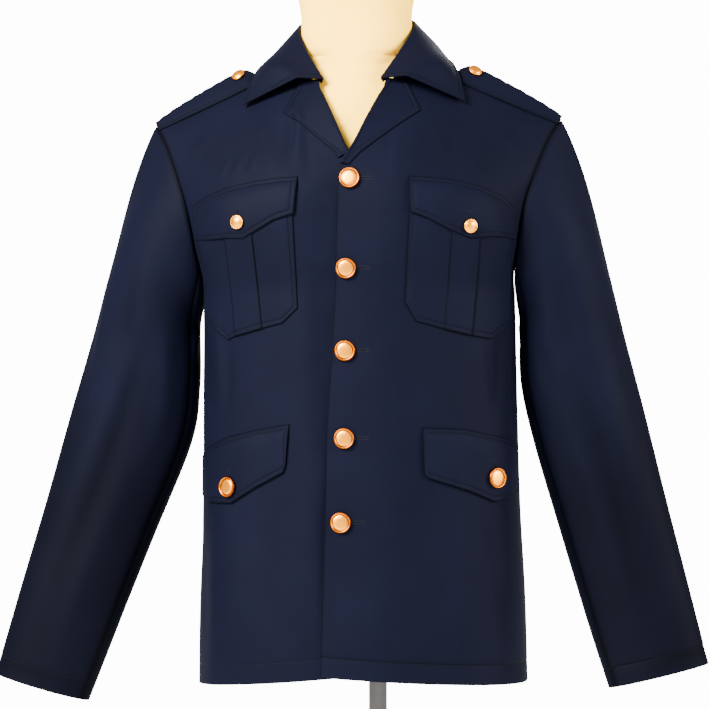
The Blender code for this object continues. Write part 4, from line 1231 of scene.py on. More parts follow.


# Dark strips in the buttonhole slits: painted shade for the opening of each cut.
def slit_material():
    made = new_material("buttonhole_painted_shade", (0.0012, 0.0012, 0.0025), roughness=0.9)
    where = object_place(made)
    slit_shade_grain = noise(made, where, 1800.0, 1.0)
    link(made, colours_between(made, slit_shade_grain, (0.0008, 0.0008, 0.0018), (0.0018, 0.0019, 0.004)),
         shader_of(made).inputs["Base Color"])
    shader_of(made).inputs["Specular IOR Level"].default_value = 0.02
    return made


def gold_material():
    """Gilt metal: brown in the hollow round the rim, stippled in the middle."""
    made = new_material("gilt_metal", (0.90, 0.60, 0.20), 1.0, 0.28)
    shader = shader_of(made)
    where = object_place(made)
    flat = node(made, "ShaderNodeVectorMath", operation="MULTIPLY")
    flat.inputs[1].default_value = (1.0, 1.0, 0.0)
    link(made, where, flat.inputs[0])
    radius = node(made, "ShaderNodeVectorMath", operation="LENGTH")
    link(made, flat.outputs["Vector"], radius.inputs[0])
    ring = node(made, "ShaderNodeMapRange")
    set_inputs(ring, {"From Min": 0.0, "From Max": BIG_BUTTON[0] / 2})
    link(made, radius.outputs["Value"], ring.inputs["Value"])
    tone = node(made, "ShaderNodeValToRGB")
    tone.color_ramp.elements[0].color = (0.84, 0.285, 0.0, 1.0)
    tone.color_ramp.elements[1].color = (0.10, 0.018, 0.0, 1.0)
    for place, colour in (
        (0.68, (0.86, 0.295, 0.0, 1.0)),
        (0.74, (0.16, 0.032, 0.0, 1.0)),
        (0.79, (0.12, 0.024, 0.0, 1.0)),
        (0.86, (0.50, 0.130, 0.0, 1.0)),
        (0.94, (0.18, 0.034, 0.0, 1.0)),
    ):
        tone.color_ramp.elements.new(place).color = colour
    link(made, ring.outputs["Result"], tone.inputs["Fac"])
    link(made, tone.outputs["Color"], shader.inputs["Base Color"])
    stipple = node(made, "ShaderNodeTexVoronoi", Scale=1300.0)
    link(made, where, stipple.inputs["Vector"])
    uneven_gloss(made, noise(made, where, 700.0), 0.26, 0.44)
    link(made, bump(made, stipple.outputs["Distance"], 0.00020, 0.4), shader.inputs["Normal"])
    shader.inputs["Specular Tint"].default_value = (0.80, 0.30, 0.0, 1.0)
    return made


def jersey_material():
    """The form's cream cover: a close knit with faint shading between its loops."""
    made = new_material("cream_jersey_cover", (0.86, 0.74, 0.55), roughness=0.8)
    shader = shader_of(made)
    where = object_place(made)
    broad = noise(made, where, 5.0, 3.0)
    link(made, colours_between(made, broad, (0.98, 0.54, 0.026), (0.99, 0.58, 0.034)),
         shader.inputs["Base Color"])
    loops = bump(made, wave_bands(made, where, "X", 260.0), 0.0002, 0.25)
    rows = bump(made, wave_bands(made, where, "Z", 330.0), 0.0002, 0.25, loops)
    link(made, rows, shader.inputs["Normal"])
    shader.inputs["Specular IOR Level"].default_value = 0.15
    return made


def chrome_material():
    """Polished chrome with faint wear."""
    made = new_material("polished_chrome", (0.16, 0.15, 0.145), 1.0, 0.12)
    shader = shader_of(made)
    where = object_place(made)
    wear = noise(made, where, 60.0, 6.0, 0.7)
    uneven_gloss(made, wear, 0.08, 0.20)
    link(made, bump(made, wear, 0.0001, 0.15), shader.inputs["Normal"])
    return made


# Pieces of the shirt


def keep(piece, slot, *nodes):
    """A piece that rides on the model's one body and stands for its solids."""
    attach(piece, "root")
    if nodes:
        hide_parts(*nodes)
    return piece


def away_from_seams(u, v):
    """0 in the seams of a front or back, rising to 1 on the open cloth."""
    return ease(u / 0.08) * ease((2.0 - v) / 0.09)


def panel_lift(key, u, v):
    """What raises a front over its plain surface: the overlap, creases and ripples."""
    side = SIDES[key]
    here = front(side, u, v)
    x, z = here[..., 0], here[..., 2]
    seam = away_from_seams(u, v)
    soft = crease_lift(CREASES[f"front_{key}"], x, z) + ripple(x, z, RIPPLE, 1.0 + side)
    return lap_lift(side, u, v) + soft * seam


def back_lift(side, u, v):
    here = back(side, u, v)
    x, z = here[..., 0] * side, here[..., 2]
    seam = away_from_seams(u, v)
    return (crease_lift(CREASES["back"], x, z) + ripple(x, z, RIPPLE, 5.0)) * seam


def panel_levels():
    """The v of the rows of a fine front or back."""
    near = clustered(UNDERARM * 2, FINE, marks=(HEM_STITCH,))
    low = near[near < UNDERARM - FINE / 2] / UNDERARM
    high = steps_between(1.0, 2.0, FINE / NECK_RISE)
    top = 2.0 - np.array([0.006, 0.003, 0.0015]) / ARMHOLE_RISE
    high = np.concatenate([high[high < top[0] - 1e-3], top, [2.0 - SEAM_TRIM / ARMHOLE_RISE]])
    return np.concatenate([low, high])


def seam_dip(distance):
    return -SEAM_DIP * np.exp(-((distance / SEAM_DIP_HALF) ** 2))


def panel_grids(surface, side, u, v, lift, hem_depth=1.0):
    """Outer and inner points and the painted shade of a front or half of the back, and its edge.
    """
    seam, edge, hem, shoulder = edge_distances(on_panel(surface, side, u, v, lift))
    dips = seam_dip(seam) + seam_dip(shoulder) + groove(hem, HEM_STITCH) * hem_depth
    # Painted shade in the seams and along the hem's stitch line.
    shade = line_shade(np.minimum(seam, shoulder), 0.0, SEAM_SHADE)
    shade = shade + line_shade(hem, HEM_STITCH, STITCH_SHADE) * hem_depth * 0.6
    round_edge = rounded(np.minimum(edge, hem) if surface is front else hem)
    outer = on_panel(surface, side, u, v, lift + dips - SHELL / 2 * (1 - round_edge))
    inner = on_panel(surface, side, u, v, lift - SHELL / 2 - SHELL / 2 * round_edge)
    return outer, inner, shade, edge


def front_shell(key, finish, stitches):
    u = clustered(HALF_GIRTH, FINE, marks=()) / HALF_GIRTH
    u[0] += SEAM_TRIM / HALF_GIRTH
    u, v = np.meshgrid(u, panel_levels())
    lift = panel_lift(key, u, v)
    outer, inner, shade, edge = panel_grids(front, SIDES[key], u, v, lift, HEM_DEPTH[key])
    # Painted shade: darker in the creases' troughs and less dark on their ridges, darker all over
    # the wearer's left front, and a dark line along the front edge.
    shade = shade - lift * CREASE_PAINTED_SHADE / 2 + FRONT_PAINTED_SHADE[key]
    shade = shade + line_shade(edge, 0.0, EDGE_SHADE) * 0.7
    made = shell(f"shirt_front_{key}", outer, inner, finish, shade)
    stitches.line(*row_line(outer, inner, HEM_STITCH))
    return keep(made, "navy_cloth", f"front_{key}")


def back_shell(finish, stitches):
    near = clustered(HALF_GIRTH * 2, FINE, marks=())
    half = near[near < HALF_GIRTH - FINE / 2] / HALF_GIRTH
    half = np.concatenate([half, [1.0]])
    half[0] += SEAM_TRIM / HALF_GIRTH
    u, v = np.meshgrid(half, panel_levels())
    grids = [panel_grids(back, side, u, v, back_lift(side, u, v)) for side in SIDES.values()]
    outer, inner, shade = (
        np.concatenate([grids[0][i], grids[1][i][:, -2::-1]], axis=1) for i in range(3)
    )
    stitches.line(*row_line(outer, inner, HEM_STITCH))
    return keep(shell("shirt_back", outer, inner, finish, shade), "navy_cloth", "back")


def row_line(outer, inner, distance, from_end=False):
    """A line across a grid a distance from its first or last row, with its normals."""
    both = np.concatenate([outer, unit(outer - inner)], -1).transpose(1, 0, 2)
    down = arc_lengths(outer, 0).T
    lines = []
    for spots, along in zip(both, down):
        at = along[-1] - distance if from_end else distance
        lines.append([np.interp(at, along, spots[:, i]) for i in range(6)])
    lines = np.array(lines)
    return lines[:, :3], lines[:, 3:]


def column_line(outer, inner, distance, from_end=False):
    flipped = outer.transpose(1, 0, 2), inner.transpose(1, 0, 2)
    return row_line(*flipped, distance, from_end)


def trim_shade(near, edge, stitch):
    """Painted shade of a piece of trim at a distance from its edges, by two shares: along the edge
    and along the stitch line.
    """
    shade = line_shade(near, 0.0, EDGE_SHADE) * edge
    return shade + line_shade(near, STITCH_FROM_EDGE, STITCH_SHADE) * stitch


def border_stitches(stitches, outer, inner, margin, sides):
    """Stitch lines a margin in from the named sides of a grid, which stop at each other."""
    across, down = arc_lengths(outer, 1), arc_lengths(outer, 0)
    middle_row, middle_column = len(outer) // 2, outer.shape[1] // 2
    along_row, along_column = across[middle_row], down[:, middle_column]
    inside_row = np.ones(len(along_row), bool)
    inside_column = np.ones(len(along_column), bool)
    if "left" in sides:
        inside_row &= along_row >= margin
    if "right" in sides:
        inside_row &= along_row[-1] - along_row >= margin
    if "top" in sides:
        inside_column &= along_column >= margin
    if "bottom" in sides:
        inside_column &= along_column[-1] - along_column >= margin
    for name in sides:
        from_end = name in ("right", "bottom")
        if name in ("top", "bottom"):
            points, normals = row_line(outer, inner, margin, from_end)
            chosen = inside_row
        else:
            points, normals = column_line(outer, inner, margin, from_end)
            chosen = inside_column
        stitches.line(points[chosen] + normals[chosen] * STITCH_RISE, normals[chosen])


def sleeve_lift(key, phi, t):
    """Creases and ripples of a sleeve, by its degrees round and its section."""
    length, girth = SLEEVE_SECTION, SLEEVE_GIRTH / 360.0
    lift = np.zeros(phi.shape)
    for phi_top, t_top, phi_foot, t_foot, half, height in SLEEVE_CREASES[key]:
        share = (t - t_top) / (t_foot - t_top)
        aside = ((phi - phi_top) - (phi_foot - phi_top) * share + 180.0) % 360.0 - 180.0
        aside = aside * girth + 0.3 * half * math.sin(share * 6.0 + phi_top)
        fade = float(ease(share * 3.0) * ease((1 - share) * 2.2))
        lift = lift + height * fade * np.exp(-((aside / half) ** 2))
    turn = np.radians(phi)
    waves = ripple(np.cos(turn) * 0.05 + t * 0.004, t * length + np.sin(turn) * 0.03, RIPPLE, 3.0)
    return (lift + waves) * float(ease(t / 0.35))


def sleeve_shell(key, name, first, last, finish, stitches):
    side = SIDES[key]
    count = int((last - first) / SLEEVE_TURN_STEP)
    phi = np.linspace(first, last, count + 1)
    near = np.array([SEAM_TURN_GAP, 1.0, 2.2, 3.6])
    inside = phi[(phi > first + near[-1] + 1.0) & (phi < last - near[-1] - 1.0)]
    phi = np.concatenate([first + near, inside, last - near[::-1]])
    head = np.concatenate([[0.0, 0.012, 0.03, 0.055], np.linspace(0.085, 1.0, 24)])
    cuff = 6.0 - clustered(SLEEVE_SECTION * 2, FINE, marks=(HEM_STITCH,)) / SLEEVE_SECTION
    cuff = cuff[cuff > 5.6][::-1]
    arm = np.linspace(1.0, cuff[0], int((cuff[0] - 1.0) * SLEEVE_SECTION / FINE))[1:-1]
    rings = np.concatenate([head, arm, cuff])
    base = np.array([sleeve(key, phi, t) for t in rings])
    normals = np.array([sleeve_normal(key, phi, t) for t in rings])
    _, panel = armhole(side, phi)
    shared = np.maximum(np.cos(np.radians(phi)), 0.0)[:, None]
    for row in range(4):
        weight = shared * (1 - row / 4)
        normals[row] = unit(panel * weight + normals[row] * (1 - weight))
    lift = np.array([sleeve_lift(key, phi, t) for t in rings])
    left, right, top, cuff_edge = edge_distances(base)
    dips = seam_dip(np.minimum(left, right)) + seam_dip(top) + groove(cuff_edge, HEM_STITCH)
    # Painted shade in the seams, at the armhole and along the cuff's stitch line, darker down the
    # lower sleeve, darker in the creases' troughs and lighter on their ridges.
    shade = line_shade(np.minimum(left, right), 0.0, SEAM_SHADE) * 0.8
    shade = shade + line_shade(top, 0.0, SEAM_SHADE * 1.4)
    shade = shade + line_shade(cuff_edge, HEM_STITCH, STITCH_SHADE) * 0.4
    shade = shade + SLEEVE_PAINTED_SHADE * ease((rings - 1.6) / 2.6)[:, None] - lift * CREASE_PAINTED_SHADE
    round_edge = rounded(cuff_edge)
    outer = base + normals * (lift + dips - SHELL / 2 * (1 - round_edge))[..., None]
    inner = base + normals * (lift - SHELL / 2 - SHELL / 2 * round_edge)[..., None]
    outer, inner = mirrored(outer, side), mirrored(inner, side)
    stitches.line(*row_line(outer, inner, HEM_STITCH, from_end=True))
    return keep(shell(f"shirt_{name}", outer, inner, finish, shade), "navy_cloth", name)


def collar_shell(finish, stitches):
    """The collar: it stands up from the neck seam, rolls over and falls."""
    station_length = 0.26
    near = clustered(station_length * 2, 0.005)
    stations = np.concatenate([near[near < station_length - 0.0025], [station_length]])
    stations = stations / station_length
    lines = (COLLAR_SEAM, COLLAR_ROLL, COLLAR_FALL, COLLAR_EDGE)
    seam, roll, middle, edge = (smooth(line, stations) for line in lines)
    outward = unit(roll * np.array([1.0, 1.0, 0.0]))
    down = np.array([0.0, 0.0, -ROLL_HALF])
    inner_roll = roll - outward * ROLL_HALF + down
    outer_roll = roll + outward * ROLL_HALF + down
    columns = np.stack([seam, (seam + inner_roll) / 2, inner_roll, roll, outer_roll,
                        outer_roll * 0.5 + middle * 0.5, middle, edge], axis=1)
    wave = ripple(stations[:, None] * 0.2, np.zeros(1), 0.0008, 2.0)
    shares = collar_shares(columns)
    half = through(columns, shares)
    straight = through(columns, shares, straight=True)
    fall_start = np.linalg.norm(np.diff(columns, axis=1), axis=-1).mean(axis=0)
    fall_start = fall_start[:4].sum() / fall_start.sum()
    weight = (1 - ramp(stations, (0.0, 0.16)))[:, None] * (shares > fall_start)
    half = half * (1 - weight[..., None]) + straight * weight[..., None]
    half = half + wave[..., None] * np.array([0.0, 0.0, 1.0])
    points = np.concatenate([half[:-1], mirrored(half[::-1], -1.0)])
    normals = grid_normals(points)
    row = len(points) // 4
    out = points[row, -8] - points[row, 0]
    if np.dot(normals[row, -8], out * [1, 1, 0] + [0, 0, 0.05]) < 0:
        normals = -normals
    _, edge_far, start, end = edge_distances(points)
    near_edge = np.minimum(edge_far, np.minimum(start, end))
    round_edge = rounded(near_edge)
    puff = groove(near_edge, STITCH_FROM_EDGE)
    outer = points + normals * (COLLAR_CLOTH / 2 * round_edge + puff)[..., None]
    inner = points - normals * (COLLAR_CLOTH / 2 * round_edge)[..., None]
    border_stitches(stitches, outer, inner, STITCH_FROM_EDGE, ("right", "top", "bottom"))
    # Painted shade along the collar's edges and stitch lines, at half strength.
    made = shell("shirt_collar", outer, inner, finish, trim_shade(near_edge, 0.5, 0.5))
    return keep(made, "navy_cloth", "collar")


def collar_shares(columns):
    """Shares across the collar, dense at the roll and at the stitched edge."""
    length = np.linalg.norm(np.diff(columns, axis=1), axis=-1).mean(axis=0)
    total = length.sum()
    keys = np.concatenate([[0.0], np.cumsum(length)])
    places = list(steps_between(0.0, keys[2], 0.004))[:-1]
    places += list(steps_between(keys[2], keys[4], 0.0009))[:-1]
    fall = total - keys[4]
    near = [fall - n for n in clustered(fall * 2, 0.004) if n < fall - 0.002]
    places += [keys[4] + n for n in [0.0] + sorted(near)]
    return np.array(sorted(set(np.round(places, 6)))) / total


def through(columns, share, straight=False):
    """Each row's points at shares of its length, on a curve or lines through its columns."""
    rows, count = columns.shape[:2]
    length = np.linalg.norm(np.diff(columns, axis=1), axis=-1).mean(axis=0)
    keys = np.concatenate([[0.0], np.cumsum(length)])
    table = np.concatenate(
        [(keys / keys[-1])[:, None], columns.transpose(1, 0, 2).reshape(count, rows * 3)], axis=1
    )
    if straight:
        read = np.stack([np.interp(share, table[:, 0], column) for column in table.T[1:]], -1)
    else:
        read = smooth(table, share)
    return read.reshape(len(share), rows, 3).transpose(1, 0, 2)


def table_columns(rows, step):
    """A table's rows read at dense places along its mean line, straight between rows."""
    rows = np.array(rows, float)
    middle = (rows[:, 0:2] + rows[:, 2:4]) / 2
    keys = np.concatenate([[0.0], np.cumsum(np.hypot(*np.diff(middle, axis=0).T))])
    places = np.concatenate([clustered(keys[-1], step), keys])
    places = np.array(sorted(set(np.round(places, 6))))
    places = places[np.concatenate([[True], np.diff(places) > 1e-4])]
    return np.stack([np.interp(places, keys, rows[:, i]) for i in range(rows.shape[1])], -1)


def patch_shell(name, key, rows, place, rise, finish, stitches, sides):
    """A sewn-on piece of a front, rounded at its free edges, with stitches inside them."""
    side = SIDES[key]
    rows = table_columns(rows, PATCH_FINE)
    tall = float(np.mean(np.hypot(rows[:, 0] - rows[:, 2], rows[:, 1] - rows[:, 3])))
    share = (clustered(tall, PATCH_FINE) / tall)[:, None]
    x = rows[:, 0] * (1 - share) + rows[:, 2] * share
    z = rows[:, 1] * (1 - share) + rows[:, 3] * share
    u, v = place(side, x, z)
    base = panel_lift(key, u, v) + PATCH_LAY
    inward = 1 - ramp((rows[:, 0] - rows[0, 0]) / (rows[-1, 0] - rows[0, 0]), FLAP_REST)
    standing = rise * ease(share * 3.0) * inward
    top = base + SHELL + rows[:, 4] + standing
    plain = on_panel(front, side, u, v, top)
    left, right, above, below = edge_distances(plain)
    near = np.minimum(np.minimum(left, right), below)
    if "top" in sides:
        near = np.minimum(near, above)
    round_edge = rounded(near)
    sag = PUFF * ease(near / PUFF_HALF)
    outer = on_panel(
        front, side, u, v,
        top + sag - SHELL * 0.6 * (1 - round_edge) + groove(near, STITCH_FROM_EDGE),
    )
    inner = on_panel(front, side, u, v, base + standing * 0.9)
    border_stitches(stitches, outer, inner, STITCH_FROM_EDGE, sides)
    # Painted shade along the free edges and stitch lines, and a painted shade line at each pleat's
    # fold.
    pleats = np.abs(np.gradient(rows[:, 4]))
    shade = trim_shade(near, 1.0, 0.45) + pleats / max(pleats.max(), 1e-9)
    made = shell(f"shirt_{name}_{key}", outer, inner, finish, shade)
    return keep(made, "navy_cloth", f"{name}_{key}")


def lapel_shell(key, finish, stitches):
    """A lapel: the front's edge rolled back on itself, flat on the chest below the roll."""
    side = SIDES[key]
    rows = np.array([(*row, 0.0) for row in LAPELS[key]])
    rows[0, [1, 3]] += LAPEL_TUCK
    rows = table_columns(rows, PATCH_FINE)
    wide = float(np.max(rows[:, 2] - rows[:, 0]))
    share = clustered(wide, PATCH_FINE) / wide
    x = rows[:, :1] * (1 - share) + rows[:, 2:3] * share
    z = rows[:, 1:2] * (1 - share) + rows[:, 3:4] * share
    u, v = spot(side, x, z)
    reach = (1 - u[:, :1]) * np.clip(1 - share * 6.0, 0.0, 1.0)
    u = u + reach
    rise = LAPEL_RISE * (1 - share) ** 2
    out = panel_lift(key, u, v) + PATCH_LAY + rise
    plain = on_panel(front, side, u, v, out)
    _, far, start, end = edge_distances(plain)
    near = np.minimum(far, np.minimum(start, end))
    round_edge = rounded(near)
    outer = on_panel(
        front, side, u, v,
        out + SHELL - SHELL * 0.6 * (1 - round_edge) + groove(near, STITCH_FROM_EDGE),
    )
    inner = on_panel(front, side, u, v, out)
    edge_u = np.ones(len(u))
    base = panel_lift(key, edge_u, v[:, 0])
    top = out[:, 0] + SHELL
    bottom = base - SHELL * 1.2
    radius = (top - bottom) / 2
    centre = on_panel(front, side, edge_u, v[:, 0], bottom + radius)
    normal = mirrored(panel_normal(front, side, edge_u, v[:, 0]), side)
    beyond = unit(
        on_panel(front, side, edge_u + 1e-3, v[:, 0], bottom + radius) - centre
    )
    small = np.maximum(radius - SHELL * 0.8, radius * 0.3)
    turns = np.radians(np.linspace(165.0, 15.0, 9))
    roll, under = (
        np.stack([
            centre + reach[:, None] * (math.cos(a) * normal + math.sin(a) * beyond) for a in turns
        ], axis=1)
        for reach in (radius, small)
    )
    outer = np.concatenate([roll, outer], axis=1)
    inner = np.concatenate([under, inner], axis=1)
    border_stitches(stitches, outer, inner, STITCH_FROM_EDGE, ("right",))
    # Painted shade along the lapel's edges and stitch line; none on the roll.
    shade = np.concatenate([np.zeros(roll.shape[:2]), trim_shade(near, 0.8, 0.4)], axis=1)
    made = shell(f"shirt_lapel_{key}", outer, inner, finish, shade)
    return keep(made, "navy_cloth", f"lapel_{key}")


def strap_shell(key, finish, stitches):
    """A shoulder strap, rounded and stitched along its free edges."""
    side = SIDES[key]
    first, last = EPAULETTE[0][0], EPAULETTE[-1][0]
    length = float(np.linalg.norm(shoulder_seam(first) - shoulder_seam(last)))
    share = clustered(length, PATCH_FINE) / length
    wide = max(row[1] for row in EPAULETTE) * 2
    across = clustered(wide, PATCH_FINE) / wide * 2 - 1
    q, across = np.meshgrid(first + (last - first) * share, across, indexing="ij")
    plain = strap_surface(side, q, across, 0.0)
    left, right, _, end = edge_distances(plain)
    near = np.minimum(np.minimum(left, right), end)
    round_edge = rounded(near)
    extra = SHELL * (0.4 + 0.6 * round_edge) + groove(near, STITCH_FROM_EDGE)
    outer = strap_surface(side, q, across, extra)
    border_stitches(stitches, outer, plain, STITCH_FROM_EDGE, ("left", "right", "bottom"))
    # Painted shade along the strap's free edges and stitch lines.
    shade = trim_shade(near, 0.8, 0.4)
    made = shell(f"shirt_epaulette_{key}", outer, plain, finish, shade)
    return keep(made, "navy_cloth", f"epaulette_{key}")


# Buttons

BIG_PROFILE = [
    (0.00, 0.84), (0.30, 0.84), (0.58, 0.80), (0.68, 0.72), (0.73, 0.60), (0.78, 0.62),
    (0.83, 0.86), (0.90, 1.00), (0.96, 0.92), (1.00, 0.68), (1.00, 0.45), (0.95, 0.15),
    (0.86, 0.00), (0.00, 0.00),
]
SMALL_PROFILE = [
    (0.00, 1.00), (0.30, 0.97), (0.60, 0.85), (0.78, 0.67), (0.84, 0.56), (0.89, 0.58),
    (0.95, 0.60), (1.00, 0.42), (0.98, 0.25), (0.90, 0.06), (0.80, 0.00), (0.00, 0.00),
]


def turned(name, profile, steps, finish):
    """A turned piece: a profile of radius and height, down its outer side."""
    mesh = bpy.data.meshes.new(name)
    points = [(r, 0.0, z) for r, z in profile]
    mesh.from_pydata(points, [(i, i + 1) for i in range(len(points) - 1)], [])
    mesh.materials.append(finish)
    made = bpy.data.objects.new(name, mesh)
    bpy.context.scene.collection.objects.link(made)
    screw = made.modifiers.new("turn", "SCREW")
    screw.steps = screw.render_steps = steps
    screw.use_merge_vertices = True
    screw.merge_threshold = 0.00001
    screw.use_smooth_shade = True
    return made


def button(name, size, point, normal, finish):
    diameter, height = size
    shape = BIG_PROFILE if diameter > 0.02 else SMALL_PROFILE
    profile = [(r * diameter / 2, h * height) for r, h in shape]
    made = turned(f"shirt_{name}", profile, BUTTON_STEPS, finish)
    ahead = to_world(point + normal) - to_world(point)
    made.location = to_world(point)
    made.rotation_mode = "QUATERNION"
    axis = unit(np.cross([0.0, 0.0, 1.0], ahead))
    turn = math.acos(float(np.clip(ahead[2], -1.0, 1.0)))
    made.rotation_quaternion = (math.cos(turn / 2), *(axis * math.sin(turn / 2)))
    bpy.context.view_layer.update()
    return keep(made, "gold_metal", name)


def panel_spot(key, u, v, out):
    """A point over a front and the front's normal there."""
    side = SIDES[key]
    u, v = np.atleast_1d(np.asarray(u, float)), np.atleast_1d(np.asarray(v, float))
    point = on_panel(front, side, u, v, panel_lift(key, u, v) + out)[0]
    return point, mirrored(panel_normal(front, side, u, v), side)[0]


def buttonhole(stitches, slits, key, place, start, end, out):
    """Satin stitches on both sides of a slit and a bar at its end, by x and z on a front."""
    start, end = np.array(start, float), np.array(end, float)
    length = float(np.hypot(*(end - start)))
    run = (end - start) / length
    aside = np.array([-run[1], run[0]])
    along = np.arange(0.0, length, HOLE_PITCH)[:, None] * run + start
    near, far = [], []
    for way in (-1.0, 1.0):
        near.append(along + aside * way * HOLE_SLIT)
        far.append(along + aside * way * (HOLE_SLIT + HOLE_STITCH))
    bar = end + np.linspace(-1.0, 1.0, 7)[:, None] * aside * (HOLE_SLIT + HOLE_STITCH)
    near.append(bar)
    far.append(bar + run * HOLE_STITCH * 0.8)
    points = []
    for spots in (np.concatenate(near), np.concatenate(far)):
        u, v = place(SIDES[key], spots[:, 0], spots[:, 1])
        points.append(on_panel(front, SIDES[key], u, v, panel_lift(key, u, v) + out))
    normal = mirrored(panel_normal(front, SIDES[key], u, v), SIDES[key])
    stitches.many(sum(points) / 2, points[1] - points[0], normal)
    count = len(along)
    # Dark strips along the slit: painted shade for the cut's opening.
    slit = (points[0][:count] + points[0][count:2 * count]) / 2
    steps = np.arange(0, count - 5, 4)
    slits.many((slit[steps] + slit[steps + 5]) / 2, slit[steps + 5] - slit[steps],
               normal[steps], SLIT_THICK)


def buttons(finish, stitches, slits):
    for number, (x, z) in enumerate(FRONT_BUTTONS, start=1):
        point, normal = panel_spot("left", *spot(1.0, x, z), BUTTON_GAP)
        button(f"front_button_{number}", BIG_BUTTON, point, normal, finish)
        buttonhole(stitches, slits, "left", spot, (x + 0.002, z), (x + FRONT_HOLE, z), 0.0)
    chest_top = PATCH_LAY + SHELL + CHEST_FLAP_RISE + PUFF
    lower_top = PATCH_LAY + SHELL + LOWER_FLAP_RISE + PUFF
    for key, side in SIDES.items():
        x, z = CHEST_BUTTONS[key]
        point, normal = panel_spot(key, *spot(side, x, z), chest_top + BUTTON_GAP)
        button(f"chest_button_{key}", SMALL_BUTTON, point, normal, finish)
        top = (x, z + CHEST_HOLE)
        buttonhole(stitches, slits, key, spot, (x, z + 0.001), top, chest_top)
        x, z = LOWER_BUTTONS[key]
        point, normal = panel_spot(key, *skirt_spot(side, x, z), lower_top + BUTTON_GAP)
        button(f"lower_button_{key}", BIG_BUTTON, point, normal, finish)
        top = (x, z + LOWER_HOLE)
        buttonhole(stitches, slits, key, skirt_spot, (x, z + 0.001), top, lower_top)
        point, normal = strap_top(side, EPAULETTE_BUTTON, SHELL + BUTTON_GAP)
        button(f"epaulette_button_{key}", SMALL_BUTTON, point, normal, finish)


# Form and stand


def form_shell(finish):
    """The dress form's cover, through its rings, closed at the neck and at the bottom."""
    heights = np.array([row[0] for row in FORM])
    dense = np.arange(heights[0], heights[-1], FORM_STEP)
    dense = np.unique(np.concatenate([heights, dense]))
    curved = smooth(FORM, dense)
    columns = np.array(FORM).T[1:]
    straight = np.stack([np.interp(dense, heights, column) for column in columns], -1)
    neck = ramp(dense, NECK_SPAN)[:, None]
    rows = straight * (1 - neck) + curved * neck
    angle = np.linspace(0.0, 2 * math.pi, FORM_FINE_SIDES, endpoint=False)
    sine, cosine = np.sin(angle), np.cos(angle)
    rings = []
    for z, (half, ahead, behind, power) in zip(dense, rows):
        share = np.abs(sine) ** (2 / power)
        x = half * np.sign(sine) * share
        depth = np.where(cosine > 0, -ahead, -behind)
        soft = np.sqrt(share**2 + FORM_SOFT**2) - FORM_SOFT
        soft = soft / (math.hypot(1, FORM_SOFT) - FORM_SOFT)
        soft = share + (soft - share) * ease((1.9 - power) / 0.5)
        y = depth * np.sign(cosine) * np.maximum(1 - soft**power, 0.0) ** (1 / power)
        rings.append(np.stack([x, y, np.full_like(x, z)], -1))
    points = np.concatenate(rings)
    index = np.arange(len(points)).reshape(len(rings), -1)
    index = np.concatenate([index, index[:, :1]], axis=1)
    faces = grid_faces(index).tolist()
    faces += [index[0, :-1].tolist(), index[-1, :-1].tolist()]
    return keep(mesh_object("form_cover", to_world(points), faces, finish), "cream_jersey", "form")


def stand(finish):
    foot = BOSS_TOP + SEAM_GAP
    top = HEM_HEIGHT + FORM[0][0] - SEAM_GAP
    radius = POLE_RADIUS
    outline = [(0.0, top), (radius - POLE_ROUND, top), (radius, top - POLE_ROUND)]
    outline += [(radius, top - POLE_STRAIGHT), (radius, foot + POLE_STRAIGHT)]
    outline += [(radius, foot + POLE_ROUND), (radius - POLE_ROUND, foot), (0.0, foot)]
    keep(turned("stand_pole", outline, POLE_STEPS, finish), "chrome", "pole")
    profile = [
        (0.0, BOSS_TOP),
        (BOSS_RADIUS * 0.85, BOSS_TOP),
        (BOSS_RADIUS * 0.95, BOSS_TOP - 0.001),
        (BOSS_RADIUS, BOSS_TOP - 0.004),
        (BOSS_RADIUS, BASE_TOP + 0.006),
        (BOSS_RADIUS + 0.002, BASE_TOP + 0.002),
        (BOSS_RADIUS + 0.008, BASE_TOP),
        (BASE_RADIUS * 0.80, BASE_EDGE + 0.004),
        (BASE_RADIUS - 0.004, BASE_EDGE),
        (BASE_RADIUS - 0.001, BASE_EDGE - 0.0012),
        (BASE_RADIUS, BASE_EDGE - 0.004),
        (BASE_RADIUS, 0.0015),
        (BASE_RADIUS - 0.0015, 0.0),
        (0.0, 0.0),
    ]
    keep(turned("stand_base", profile, BASE_STEPS, finish), "chrome", "base")


# Stage, light and camera


def stage():
    made = new_material("pale_floor", (0.86, 0.86, 0.86), roughness=0.7)
    where = object_place(made)
    grain = noise(made, where, 3.0)
    link(made, colours_between(made, grain, (0.84, 0.84, 0.84), (0.88, 0.88, 0.88)),
         shader_of(made).inputs["Base Color"])
    corners = np.array([(-1, -1, 0), (1, -1, 0), (1, 1, 0), (-1, 1, 0)], float)
    floor = mesh_object("floor", corners * FLOOR_HALF, [[0, 1, 2, 3]], made)
    world = bpy.data.worlds.new("studio")
    bpy.context.scene.world = world
    world.use_nodes = True
    tree = world.node_tree
    lit = tree.nodes["Background"]
    lit.inputs["Strength"].default_value = WORLD_LIGHT
    seen = tree.nodes.new("ShaderNodeBackground")
    seen.inputs["Strength"].default_value = WORLD_SEEN
    for background in (lit, seen):
        background.inputs["Color"].default_value = (1.0, 1.0, 1.0, 1.0)
    rays = tree.nodes.new("ShaderNodeLightPath")
    both = tree.nodes.new("ShaderNodeMixShader")
    tree.links.new(rays.outputs["Is Camera Ray"], both.inputs[0])
    tree.links.new(lit.outputs[0], both.inputs[1])
    tree.links.new(seen.outputs[0], both.inputs[2])
    tree.links.new(both.outputs[0], tree.nodes["World Output"].inputs["Surface"])


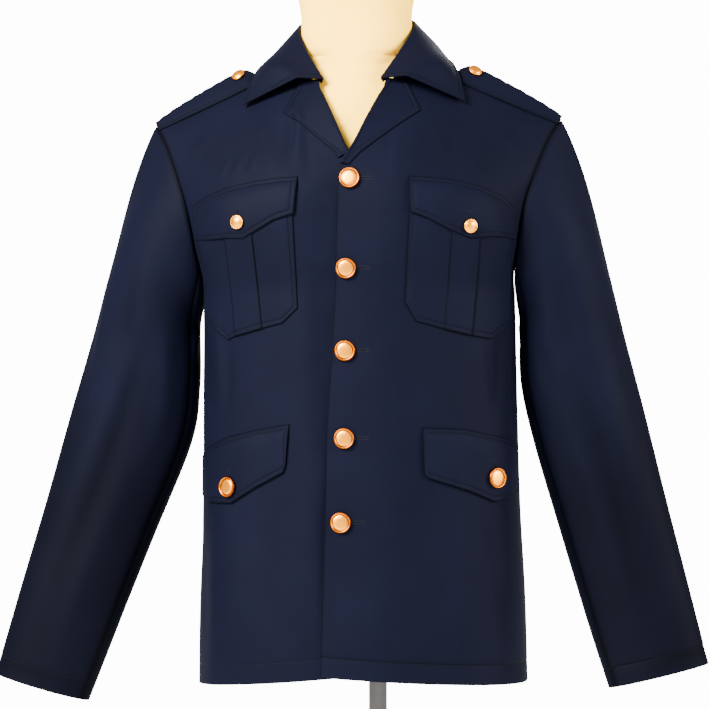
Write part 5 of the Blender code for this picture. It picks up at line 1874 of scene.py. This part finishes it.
def area_light(name, place, aim, size, power):
    data = bpy.data.lights.new(name, "AREA")
    data.energy, data.size = power, size
    made = bpy.data.objects.new(name, data)
    bpy.context.scene.collection.objects.link(made)
    made.location = place
    away = np.array(place) - np.array(aim)
    flat = math.hypot(away[0], away[1])
    made.rotation_euler = (math.atan2(flat, away[2]), 0.0, math.atan2(away[0], -away[1]))
    return made


def lights():
    for name, place, aim, size, power in LIGHTS:
        area_light(name, place, aim, size, power)


def camera():
    data = bpy.data.cameras.new("camera")
    data.sensor_width = 36.0
    data.lens = 36.0 * VIEW_DISTANCE / VIEW_WIDTH
    made = bpy.data.objects.new("camera", data)
    bpy.context.scene.collection.objects.link(made)
    made.location = (
        VIEW_X + VIEW_DISTANCE * math.sin(VIEW_TURN),
        -VIEW_DISTANCE * math.cos(VIEW_TURN),
        VIEW_HEIGHT,
    )
    made.rotation_euler = (math.pi / 2, 0.0, VIEW_TURN)
    bpy.context.scene.camera = made


# Sewn-on pieces of the fronts: name, table, how it is placed, rise and stitched sides
THREE_SIDES = ("left", "right", "bottom")
PATCHES = [
    ("chest_pocket", CHEST_POCKETS, spot, 0.0, THREE_SIDES),
    ("chest_flap", CHEST_FLAPS, spot, CHEST_FLAP_RISE, (*THREE_SIDES, "top")),
    ("lower_flap", LOWER_FLAPS, skirt_spot, LOWER_FLAP_RISE, (*THREE_SIDES, "top")),
]


def build():
    cloth = cloth_material()
    thread = thread_material()
    gold = gold_material()
    slit = slit_material()
    body_stitches, trim_stitches, slits = Stitches(), Stitches(), Stitches()
    for key in SIDES:
        front_shell(key, cloth, body_stitches)
        sleeve_shell(key, f"sleeve_top_{key}", BACK_SEAM - 360, FRONT_SEAM, cloth, body_stitches)
        sleeve_shell(key, f"sleeve_under_{key}", FRONT_SEAM, BACK_SEAM, cloth, body_stitches)
        lapel_shell(key, cloth, trim_stitches)
        strap_shell(key, cloth, trim_stitches)
        for name, tables, place, rise, sides in PATCHES:
            patch_shell(name, key, tables[key], place, rise, cloth, trim_stitches, sides)
    back_shell(cloth, body_stitches)
    collar_shell(cloth, trim_stitches)
    buttons(gold, trim_stitches, slits)
    keep(body_stitches.make("hem_stitches", thread), "navy_cloth")
    keep(trim_stitches.make("trim_stitches", thread), "navy_cloth")
    keep(slits.make("buttonhole_slit_shade", slit), "navy_cloth")
    form_shell(jersey_material())
    stand(chrome_material())


stage()
lights()
camera()
build()
